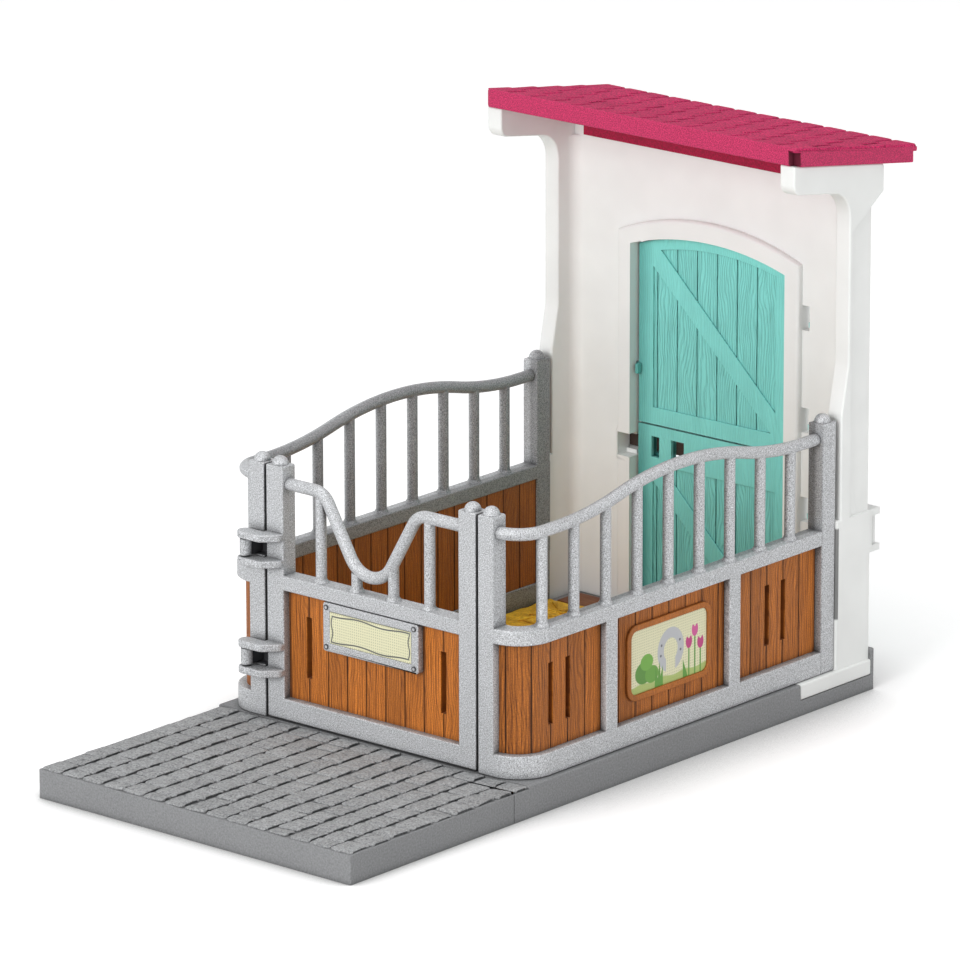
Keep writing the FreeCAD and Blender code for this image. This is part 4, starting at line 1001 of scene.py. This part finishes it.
def wear(piece, lay, amount, scale):
    """Makes a moulded piece a little uneven, each in its own way."""
    seed = lay.uniform(0, 50)
    shift = Vector((seed * 3.1, seed * 1.7, seed * 0.9))
    for point in piece.data.vertices:
        point.co += noise.noise_vector(point.co * scale + shift) * amount


# Base and paving

def paving_stone(width, depth, height):
    """Models a cobble that falls towards its ends, with joints that show along its long sides."""
    stone = rounded_block("stone", width, depth, height, STONE_SIDE, STONE_TOP)
    for share in (-STONE_CUT, STONE_CUT):
        cut(stone, ALONG_Y * depth * share, ALONG_Y)
    depths = []
    for point in stone.data.vertices:
        end = abs(point.co.y) / (depth / 2)
        low = 1 - point.co.z / height
        point.co.z -= STONE_FALL * end * end * (1 - low)
        in_middle = end < STONE_MIDDLE
        if in_middle and abs(point.co.x) > width * 0.3:
            point.co.x -= math.copysign(STONE_WAIST, point.co.x)
        # The joint depth darkens the stone's foot with the joint colour and as painted shade, fully along
        # the middle of its long sides.
        depths.append(min(low * 2.2, 1.0) * (1.0 if in_middle else 0.62))
    store(stone, "joint", depths)
    return stone


def lay_stone(model, x, y, run, lay):
    """Sets one stone; its right edge stands a little higher than the left edge of the next."""
    rules = sizes()
    tilt = Matrix.Rotation(math.radians(lay.uniform(*STONE_TILT)), 4, "Y")
    turn = Matrix.Rotation(math.radians(lay.uniform(*STONE_TURN)), 4, "Z")
    side = x + lay.uniform(-STONE_SWAY, STONE_SWAY)
    foot = FLOOR - rules.stone_height * lay.uniform(*STONE_SINK)
    spot = Matrix.Translation((side, y + run / 2, foot))
    tone = lay.random()
    side_gap = rules.stone_joint * lay.uniform(*STONE_SIDE_GAP)
    end_gap = rules.stone_joint * lay.uniform(*STONE_END_GAP)
    stone = placed_copy(model, spot @ tilt @ turn, tone, -side_gap, run - end_gap - rules.stone_length)
    wear(stone, lay, STONE_WEAR, scale=170)
    for point in stone.data.vertices:
        point.co.z = min(point.co.z, FLOOR)
    return stone


def pave(model, low_x, high_x, low_y, high_y, lay):
    """Lays rows of stones from front to back, with staggered joints."""
    rules = sizes()
    row_width = (high_x - low_x) / rules.stone_rows
    stones = []
    for row in range(rules.stone_rows):
        x = low_x + row_width * (row + 0.5)
        y = low_y
        share = FIRST_SHARE if row % 2 else 1.0
        while y < high_y - SHORTEST_STONE / 2:
            run = rules.stone_length * share * lay.uniform(*STONE_RUN)
            share = 1.0
            if high_y - y - run < SHORTEST_STONE:
                run = high_y - y
            stones.append(lay_stone(model, x, y, run, lay))
            y += run
    return stones


def lower_top(piece, drop, test):
    """Lowers the points of a slab's flat top that pass a test."""
    for point in piece.data.vertices:
        if abs(point.co.z - FLOOR) < 2 * TRIFLE and test(point.co):
            point.co.z -= drop


class STALL_OT_base(bpy.types.Operator):
    """Build the paved apron and the stall's base"""

    bl_idname = "stall.base"
    bl_label = "Base and paving"

    def execute(self, context):
        rules = sizes()
        lay = random.Random(7)
        cast, stone, dark = colours().cast, colours().stone, colours().stone_dark
        plain = moulded("cast_stone", cast)
        paving = moulded("paving_stone", stone, dark)
        joint = moulded("paving_joint", cast)
        steel = moulded("screw_steel", colours().steel)
        side = BASE_HIGH.x - rules.stone_margin
        front = APRON_LOW.y + rules.stone_margin
        sunk = FLOOR - rules.stone_height

        def paved(at, spare):
            return abs(at.x) < side + spare and front - spare < at.y < PAVING_END + spare

        def outer(middle, edge):
            rise = span(edge, ALONG_Z)
            upright = rise > UPRIGHT_EDGE and max(v.co.z for v in edge.verts) > sunk - MM
            rim = middle.z > sunk - NEAR and rise < NEAR
            return (upright or rim) and not paved(middle, NEAR)

        def bed(at, normal):
            return normal.z > LEVEL and abs(at.z - sunk) < NEAR and paved(at, 0)

        for node, name, lines in (
            ("front_apron", "apron_slab", (front,)),
            ("stall_base", "stall_slab", (PAVING_END, PAVING_END + PAVING_STEP)),
        ):
            slab = cad_copy(node, name)
            for x in (side, -side):
                cut(slab, ALONG_X * x, ALONG_X)
            for y in lines:
                cut(slab, ALONG_Y * y, ALONG_Y)
            lower_top(slab, rules.stone_height, lambda at: paved(at, TRIFLE))
            lower_top(slab, rules.rim_drop, lambda at: at.y < PAVING_END + 2 * TRIFLE)
            round_edges(slab, rules.base_edge, 3, outer)
            smooth(slab)
            dress(slab, plain, "stall", "base_grey", node)
            second_material(slab, joint, bed)
        model = paving_stone(2 * side / rules.stone_rows, rules.stone_length, rules.stone_height)
        stones = pave(model, -side, side, front, BASE_LOW.y, lay)
        stones += pave(model, -side, side, BASE_LOW.y, PAVING_END + PAVING_TUCK, lay)
        remove(model)
        field = join(stones, "paving_stones")
        smooth(field, angle=55)
        dress(field, paving, "stall", "base_grey")
        for node in ("apron_under_plate", "stall_under_plate"):
            paint_node(node, plain)
        for node in ("base_screws", "wall_screws"):
            paint_node(node, steel)
        return {"FINISHED"}


# Fences and gate

def in_pocket(at, normal):
    """Tells whether a face lies in a pocket behind one of the gate's hinges."""
    within = POCKET_FRONT < at.y < POCKET_BACK and POCKET_LEFT < at.x < POCKET_RIGHT
    return within and min(abs(at.z - height) for height in HINGE_HEIGHTS) < POCKET_HALF


def plate_corner(middle, edge):
    """Tells whether an edge runs through the name plate from front to back."""
    return span(edge, ALONG_Y) > MM


class STALL_OT_fences(bpy.types.Operator):
    """Round and paint the fence frames, the gate and its name plate"""

    bl_idname = "stall.fences"
    bl_label = "Fences and gate"

    def execute(self, context):
        rules = sizes()
        silver = hammered_silver()
        pocket_shade = moulded("hinge_pocket_shade", colours().pocket_shade)
        for node, name, body in (
            ("left_fence_frame", "left_fence", "stall"),
            ("right_fence_frame", "right_fence", "stall"),
            ("gate_frame", "gate", "gate"),
            ("name_plate", "gate_plate", "gate"),
        ):
            piece = cad_copy(node, name)
            if node == "name_plate":
                round_edges(piece, rules.plate_corner, 4, plate_corner)
            round_edges(piece, rules.frame_edge, 3, not_short)
            smooth(piece)
            dress(piece, silver, body, "frame_silver", node)
            if node == "left_fence_frame":
                # The faces inside the hinge pockets get a dark finish as painted shade.
                second_material(piece, pocket_shade, in_pocket)
        paint_node("plate_rivets", rivet_paint())
        return {"FINISHED"}


def map_planks(piece, along):
    """Writes a map that counts planks along a panel and up it."""
    width = sizes().plank_width
    layer = piece.data.uv_layers.new(name="planks")
    for loop in piece.data.loops:
        point = piece.data.vertices[loop.vertex_index].co
        layer.data[loop.index].uv = (along(point), point.z / width)


def side_run(point):
    """Gives the distance along a side panel, round its front corner, in planks."""
    run = point.y - CORNER_Y
    if run <= 0:
        run = -math.atan2(-run, abs(point.x) - CORNER_X) * PANEL_RADIUS
    return (run - SIDE_JOINT) / sizes().plank_width


def side_facing(point):
    """Gives the direction that a side panel faces at a point, and the depth of the point."""
    away = Vector((abs(point.x) - CORNER_X, min(point.y - CORNER_Y, 0), 0))
    depth = PANEL_RADIUS - away.length
    away.x = math.copysign(away.x, point.x)
    return away.normalized(), depth


def side_joints(side):
    """Gives the planes between the planks of a side panel, round its front corner."""
    width = sizes().plank_width
    run = SIDE_JOINT - width * int((SIDE_JOINT + PANEL_RADIUS * math.pi / 2) / width)
    while CORNER_Y + run < PANEL_HIGH.y - MM:
        turn = max(-run, 0) / PANEL_RADIUS
        place = Vector((side * CORNER_X, CORNER_Y + max(run, 0), 0))
        yield place, Vector((side * math.sin(turn), math.cos(turn), 0))
        run += width


def gate_run(point):
    """Gives the distance along the gate's panel in planks, with a joint at each slot."""
    return (point.x - GATE_JOINT) / GATE_PLANK


def gate_facing(point):
    """Gives the direction that the gate's panel faces, and the depth of a point."""
    return -ALONG_Y, point.y - GATE_LOW.y


def upright_joints(first, width, half):
    """Gives the upright planes between planks that lie across the stall."""
    steps = range(-int((half + first) / width), int((half - first) / width) + 1)
    return [(ALONG_X * (first + width * step), ALONG_X) for step in steps]


def on_border(middle, edge):
    """Tells whether an edge lies on the raised border round a picture."""
    return abs(middle.x) > PANEL_HIGH.x - NEAR


class STALL_OT_planks(bpy.types.Operator):
    """Plank and stain the wooden panels of the fences and the gate"""

    bl_idname = "stall.planks"
    bl_label = "Wooden panels"

    def execute(self, context):
        # The fences and the gate share one wood; the fences' lower level is painted shade.
        fence_wood = stained_planks("fence_wood", 0.74)
        gate_wood = stained_planks("gate_wood", 0.90)
        gate_joints = upright_joints(GATE_JOINT, GATE_PLANK, GATE_HIGH.x - MM)
        side = (side_run, side_facing)
        gate = (gate_run, gate_facing)
        for node, name, body, (along, facing), joints, wood in (
            ("left_wood_panel", "left_planks", "stall", side, side_joints(-1), fence_wood),
            ("right_wood_panel", "right_planks", "stall", side, side_joints(1), fence_wood),
            ("gate_panel", "gate_planks", "gate", gate, gate_joints, gate_wood),
        ):
            piece = cad_copy(node, name)
            round_edges(piece, sizes().border_edge, 3, on_border)
            for place, normal in joints:
                groove(piece, place, normal, facing, BOARD)
            store(piece, "depth", [facing(point.co)[1] / BOARD for point in piece.data.vertices])
            map_planks(piece, along)
            smooth(piece)
            dress(piece, wood, body, "plank_brown", node)
        return {"FINISHED"}


class STALL_OT_labels(bpy.types.Operator):
    """Print the labels of the gate and the side panels"""

    bl_idname = "stall.labels"
    bl_label = "Labels"

    def execute(self, context):
        paint_node("name_label", name_paper())
        picture = picture_paper()
        for node in ("left_picture_label", "right_picture_label"):
            paint_node(node, picture)
        return {"FINISHED"}


# Wall, roof and door

def on_surround(middle, edge):
    """Tells whether an edge is on the outside of the door surround's face, clear of the bolt."""
    by_bolt = middle.x < 0 and KEEPER_LOW < middle.z < KEEPER_HIGH
    if by_bolt or any(abs(v.co.y - SURROUND_FACE) > 5 * TRIFLE for v in edge.verts):
        return False
    side = max((face.normal for face in edge.link_faces), key=lambda normal: normal.y)
    away = middle - DOORWAY_MIDDLE
    return side.x * away.x + side.z * away.z > 0 and abs(side.y) < 0.1


def on_wall(middle, edge):
    """Tells whether an edge is on the front or the sides of the wall, outside the doorway."""
    inside = abs(middle.x) < DOORWAY_HALF and middle.z < DOORWAY_TOP
    return middle.y < WALL_BACK - NEAR and not inside and not_short(middle, edge)


class STALL_OT_wall(bpy.types.Operator):
    """Round and paint the rear wall"""

    bl_idname = "stall.wall"
    bl_label = "Rear wall"

    def execute(self, context):
        rules = sizes()
        wall = cad_copy("stall_wall", "rear_wall")
        # The notch for the bolt leaves no room for a soft edge beside it.
        for height in (KEEPER_LOW, KEEPER_HIGH):
            cut(wall, ALONG_Z * height, ALONG_Z)
        round_edges(wall, rules.surround_edge, 4, on_surround)
        round_edges(wall, rules.wall_edge, 3, on_wall)
        smooth(wall)
        dress(wall, wall_paint(), "stall", "wall_white", "stall_wall")
        return {"FINISHED"}


def roof_top(y):
    """Gives the height of the roof's upper face."""
    return ROOF_HIGH.z - (y - ROOF_LOW.y) * ROOF_FALL / ROOF_REACH


def under_tiles(at, front):
    """Tells whether a place is on the sunk top of the roof, behind a line."""
    return at.z > roof_top(at.y) - 1.2 * sizes().tile_step and at.y > front


def on_roof_outline(middle, edge):
    """Tells whether an edge is on the outline of the roof that shows beside the tiles."""
    shows = middle.z > FASCIA_FOOT and not under_tiles(middle, LIP_BACK - NEAR)
    return shows and not_short(middle, edge)


def in_roof_joint(at, normal):
    """Tells whether a face of the roof lies under the tiles or in the notch at its front corner."""
    if normal.z > LEVEL and under_tiles(at, LIP_BACK):
        return True
    # The notch's faces take the dark joint colour as painted shade.
    if at.x < ROOF_HIGH.x - ROOF_NOTCH - NEAR or at.y > ROOF_LOW.y + ROOF_NOTCH + NEAR:
        return False
    notch_back = normal.y < -FACING and at.y > ROOF_LOW.y + MM
    notch_side = normal.x > FACING and at.x < ROOF_HIGH.x - MM
    return notch_back or notch_side


def on_flange(at, normal):
    """Tells whether a face is on the front of the flange under the roof."""
    return normal.y < -FACING and at.y > FLANGE_FRONT


def tile_width():
    """Gives the width of a whole tile with its joint."""
    return (ROOF_HIGH.x - ROOF_LOW.x) / sizes().tile_columns


def course_depth():
    """Gives the depth of one course of tiles."""
    return ROOF_REACH / sizes().tile_courses


def tile_joints(row):
    """Gives the places of the joints in a course of tiles; every other course starts with half a tile."""
    columns = sizes().tile_columns
    if row % 2:
        inner = [ROOF_LOW.x + tile_width() * (column + 0.5) for column in range(columns)]
        return [ROOF_LOW.x, *inner, ROOF_HIGH.x]
    return [ROOF_LOW.x + tile_width() * column for column in range(columns + 1)]


def trim_tile(tile):
    """Keeps a tile within the roof, plain at the roof's sides and round at its front left corner."""
    middle = Vector((ROOF_LOW.x + TILE_CORNER, ROOF_LOW.y + TILE_CORNER))
    for point, depth in zip(tile.data.vertices, tile.data.attributes["joint"].data):
        at = point.co
        if min(at.x - ROOF_LOW.x, ROOF_HIGH.x - at.x) < PLAIN_END:
            depth.value = 0
        at.x = min(max(at.x, ROOF_LOW.x + TRIFLE), ROOF_HIGH.x - TRIFLE)
        at.y = min(at.y, ROOF_HIGH.y)
        at.z = min(at.z, roof_top(at.y))
        away = middle - at.xy
        if away.x > 0 and away.y > 0 and away.length > TILE_ROUND:
            at.xy = middle - away.normalized() * TILE_ROUND


def lay_tile(model, row, left, right, lay):
    """Lays one tile between two joints of a course, with its free end raised."""
    rules = sizes()
    course = course_depth()
    start = ROOF_LOW.y + course * row + (-TILE_OVERLAP if row else FRONT_INSET)
    end = ROOF_LOW.y + course * (row + 1)
    middle = (start + end) / 2
    rise = rules.tile_step * lay.uniform(*TILE_RISE) if row else FRONT_RISE
    spot = Matrix.Translation(((left + right) / 2, middle, roof_top(middle) - rise / 2 - TILE_HEIGHT))
    tilt = Matrix.Rotation(math.atan2(rise, course) - ROOF_SLOPE, 4, "X")
    tone = lay.random()
    gap = rules.tile_joint * lay.uniform(*TILE_GAP)
    tile = placed_copy(model, spot @ tilt, tone, right - left - gap - tile_width(), end - start - course)
    if left == ROOF_LOW.x or right == ROOF_HIGH.x:
        outwards = math.copysign(rules.tile_joint / 2, left)
        tile.data.transform(Matrix.Translation((outwards, 0, 0)))
    wear(tile, lay, TILE_WEAR, scale=150)
    trim_tile(tile)
    return tile


class STALL_OT_roof(bpy.types.Operator):
    """Lay the tiles on the roof"""

    bl_idname = "stall.roof"
    bl_label = "Tiled roof"

    def execute(self, context):
        rules = sizes()
        lay = random.Random(5)
        base, shade, dark = colours().raspberry, colours().raspberry_shade, colours().raspberry_dark
        slab = cad_copy("roof", "roof_slab")
        # The front keeps a narrow lip at full height; the rest is sunk under the tiles.
        for y in (LIP_BACK, LIP_BACK + 2 * TRIFLE):
            cut(slab, ALONG_Y * y, ALONG_Y)
        for point in slab.data.vertices:
            if point.co.z > roof_top(point.co.y) - 0.5 * MM and point.co.y > LIP_BACK + TRIFLE:
                point.co.z -= rules.tile_step
        round_edges(slab, rules.roof_edge, 2, on_roof_outline)
        smooth(slab)
        dress(slab, moulded("roof_plastic", base), "stall", "roof_raspberry", "roof")
        second_material(slab, moulded("roof_joint", dark), in_roof_joint)
        # The flange under the eave takes a darker copy of the roof colour as painted shade.
        second_material(slab, moulded("roof_shade", shade), on_flange)
        model = rounded_block("tile", tile_width(), course_depth(), TILE_HEIGHT, TILE_SIDE, TILE_TOP, 3)
        # The joint depth darkens each tile's foot with the joint colour and as painted shade in the gaps.
        heights = [point.co.z / TILE_HEIGHT for point in model.data.vertices]
        store(model, "joint", [min(3 - 3 * height, 1.0) for height in heights])
        tiles = []
        for row in range(rules.tile_courses):
            joints = tile_joints(row)
            tiles += [lay_tile(model, row, left, right, lay) for left, right in zip(joints, joints[1:])]
        remove(model)
        field = join(tiles, "roof_tiles")
        smooth(field, angle=55)
        dress(field, moulded("roof_tile", base, dark), "stall", "roof_raspberry")
        return {"FINISHED"}


def leaf_facing(point):
    """Gives the direction that a door leaf faces, and the depth of a point under its planks."""
    return -ALONG_Y, point.y - LEAF_FRONT - MEMBER_RAISE


def on_leaf_front(middle, edge):
    """Tells whether an edge is on the front of a door leaf."""
    return middle.y < LEAF_FRONT + MEMBER_RAISE + NEAR and not_short(middle, edge)


class STALL_OT_door(bpy.types.Operator):
    """Round and paint the door leaves and their bolt"""

    bl_idname = "stall.door"
    bl_label = "Door and bolt"

    def execute(self, context):
        rules = sizes()
        paint = door_paint()
        for node, name, body in (
            ("upper_door_leaf", "upper_leaf_board", "upper_leaf"),
            ("lower_door_leaf", "lower_leaf_board", "lower_leaf"),
        ):
            leaf = cad_copy(node, name)
            round_edges(leaf, rules.leaf_edge, 2, on_leaf_front)
            for place, normal in upright_joints(DOOR_JOINT, DOOR_PLANK, DOOR_HALF - DOOR_STILE):
                groove(leaf, place, normal, leaf_facing, BOARD - MEMBER_RAISE)
            smooth(leaf)
            dress(leaf, paint, body, "door_turquoise", node)
        bolt = cad_copy("door_bolt", "bolt_bar")
        round_edges(bolt, rules.bolt_edge, 3, any_edge)
        smooth(bolt)
        dress(bolt, moulded("bolt_plastic", colours().bolt), "bolt", "bolt_brown", "door_bolt")
        return {"FINISHED"}


# Bedding

def ripple(mat):
    """Makes the top of the straw mat uneven."""
    for axis, reach in ((ALONG_X, BED_HIGH.x - BED_LOW.x), (ALONG_Y, BED_HIGH.y - BED_LOW.y)):
        for index in range(1, int(reach / MAT_STEP)):
            cut(mat, BED_LOW + axis * MAT_STEP * index, axis)
    for point in mat.data.vertices:
        if point.co.z > BED_HIGH.z - NEAR:
            height = noise.fractal(point.co * 220, 1.0, 2.0, 4) * MAT_RIPPLE
            point.co.z = BED_HIGH.z - MAT_SINK + max(-MAT_DIP, min(MAT_SINK, height))


def straw_model():
    """Models one straw as a thin upright rod of unit length, divided so that it can bend."""
    bpy.ops.object.select_all(action="DESELECT")
    bpy.ops.mesh.primitive_cylinder_add(vertices=5, radius=sizes().straw_radius, depth=1)
    model = bpy.context.object
    model.name = "straw"
    mesh = edit(model, "EDGE")
    pick(model, [edge for edge in mesh.edges if span(edge, ALONG_Z) > 0.5])
    bpy.ops.mesh.subdivide(number_cuts=2)
    leave()
    return model


def drop_straw(model, lay):
    """Drops one straw on the mat, with a slight bend."""
    stalk = lay.uniform(*STRAW_LENGTH)
    x = lay.uniform(BED_LOW.x + STRAW_MARGIN, BED_HIGH.x - STRAW_MARGIN)
    y = lay.uniform(BED_LOW.y + STRAW_FRONT, BED_HIGH.y - STRAW_MARGIN)
    turn = lay.uniform(0, math.pi)
    tip = math.pi / 2 + lay.uniform(-STRAW_TIP, STRAW_TIP)
    spot = Matrix.Translation((x, y, BED_HIGH.z + lay.uniform(-STRAW_LIFT, STRAW_LIFT)))
    lying = Matrix.Rotation(turn, 4, "Z") @ Matrix.Rotation(tip, 4, "Y")
    straw = placed_copy(model, spot @ lying @ Matrix.Diagonal((1, 1, stalk, 1)), lay.random())
    sag = lay.uniform(-STRAW_BEND, STRAW_BEND)
    side = Vector((-math.sin(turn), math.cos(turn), 0))
    for point in straw.data.vertices:
        away = (point.co - Vector((x, y, BED_HIGH.z))).length / stalk
        point.co += side * sag * away * away * 4
    return straw


class STALL_OT_bedding(bpy.types.Operator):
    """Spread the straw and lay the strip of floor in front of the door"""

    bl_idname = "stall.bedding"
    bl_label = "Straw and sill"

    def execute(self, context):
        lay = random.Random(3)
        straw = straw_paint()
        mat = cad_copy("straw_bedding", "straw_mat")
        ripple(mat)
        smooth(mat, angle=80)
        store(mat, "tone", [0.3] * len(mat.data.vertices))
        dress(mat, straw, "stall", "straw_yellow", "straw_bedding")
        model = straw_model()
        straws = [drop_straw(model, lay) for _ in range(sizes().straw_count)]
        remove(model)
        litter = join(straws, "loose_straw")
        smooth(litter, angle=80)
        dress(litter, straw, "stall", "straw_yellow")
        paint_node("door_sill", sill_wood())
        return {"FINISHED"}


# Stage

def floor_paint():
    """Pale floor that keeps shadows, has a painted shadow from ambient occlusion near the object, and
    looks white to the camera.
    """
    paint = Paint("studio_floor")
    paint.tree.nodes.remove(paint.surface)
    # Painted shadow: ambient occlusion darkens the floor and its glow near the object.
    nearby = paint.occlusion_shade(70 * MM, 0.85)
    pale = nearby * 0.86
    matt = paint.node("ShaderNodeBsdfDiffuse", {}, {"Color": paint.vector(pale, pale, pale)})
    glow = paint.node("ShaderNodeEmission", {}, {"Strength": paint.sight() * nearby * 0.39})
    both = paint.node("ShaderNodeAddShader", {}, [matt, glow])
    paint.fill(paint.tree.nodes["Material Output"].inputs["Surface"], both)
    return paint.made


def lamp(name, place, target, width, watts):
    """Sets up a soft square lamp."""
    light = bpy.data.lights.new(name, "AREA")
    light.size = width
    light.energy = watts
    item = bpy.data.objects.new(name, light)
    item.location = place
    item.rotation_euler = (Vector(target) - Vector(place)).to_track_quat("-Z", "Y").to_euler()
    bpy.context.scene.collection.objects.link(item)


class STALL_OT_stage(bpy.types.Operator):
    """Set up the floor, the lamps and the camera"""

    bl_idname = "stall.stage"
    bl_label = "Stage"

    def execute(self, context):
        scene = context.scene
        bpy.ops.object.select_all(action="DESELECT")
        bpy.ops.mesh.primitive_plane_add(size=GROUND_SIZE, location=(0, 0, -GROUND_DROP))
        ground = context.object
        ground.name = "studio_ground"
        ground.data.materials.append(floor_paint())
        ground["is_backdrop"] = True

        sky = Sky("studio")
        level = SKY_LIGHT + sky.sight() * (1 - SKY_LIGHT)
        scene.world = sky.finish(Color=(1, 1, 1, 1), Strength=level)
        for settings in LAMPS:
            lamp(*settings)

        camera = bpy.data.cameras.new("camera")
        camera.sensor_width = CAMERA_SENSOR
        camera.lens = CAMERA_LENS
        view = bpy.data.objects.new("camera", camera)
        place = Matrix.Translation(CAMERA_PLACE)
        azimuth = Matrix.Rotation(CAMERA_AZIMUTH, 4, "Z")
        elevation = Matrix.Rotation(math.pi / 2 - CAMERA_ELEVATION, 4, "X")
        roll = Matrix.Rotation(CAMERA_ROLL, 4, "Z")
        view.matrix_world = place @ azimuth @ elevation @ roll
        scene.collection.objects.link(view)
        scene.camera = view
        scene.view_settings.view_transform = "Standard"
        return {"FINISHED"}


class STALL_PT_panel(bpy.types.Panel):
    """Lists the steps that dress the stall"""

    bl_idname = "STALL_PT_panel"
    bl_label = "Toy horse stall"
    bl_space_type = "VIEW_3D"
    bl_region_type = "UI"
    bl_category = "Stall"

    def draw(self, context):
        for step in STEPS:
            self.layout.operator(step.bl_idname)
        for group in (context.scene.stall_sizes, context.scene.stall_colours):
            for name in group.__annotations__:
                self.layout.prop(group, name)


STEPS = (
    STALL_OT_stage,
    STALL_OT_base,
    STALL_OT_fences,
    STALL_OT_planks,
    STALL_OT_labels,
    STALL_OT_wall,
    STALL_OT_roof,
    STALL_OT_door,
    STALL_OT_bedding,
)
CLASSES = (StallColours, StallSizes, *STEPS, STALL_PT_panel)


def register():
    """Adds the classes and the settings to Blender."""
    for item in CLASSES:
        bpy.utils.register_class(item)
    bpy.types.Scene.stall_colours = PointerProperty(type=StallColours)
    bpy.types.Scene.stall_sizes = PointerProperty(type=StallSizes)


def unregister():
    """Takes the classes and the settings out of Blender."""
    del bpy.types.Scene.stall_sizes
    del bpy.types.Scene.stall_colours
    for item in reversed(CLASSES):
        bpy.utils.unregister_class(item)


def main():
    """Dresses the stall and works out the boxes round the CAD parts and the dressed pieces."""
    register()
    bpy.ops.stall.stage()
    bpy.ops.stall.base()
    bpy.ops.stall.fences()
    bpy.ops.stall.planks()
    bpy.ops.stall.labels()
    bpy.ops.stall.wall()
    bpy.ops.stall.roof()
    bpy.ops.stall.door()
    bpy.ops.stall.bedding()
    cad, visual = ([list(corner) for corner in box] for box in (CAD_BOX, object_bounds()))


if __name__ == "__main__":
    main()
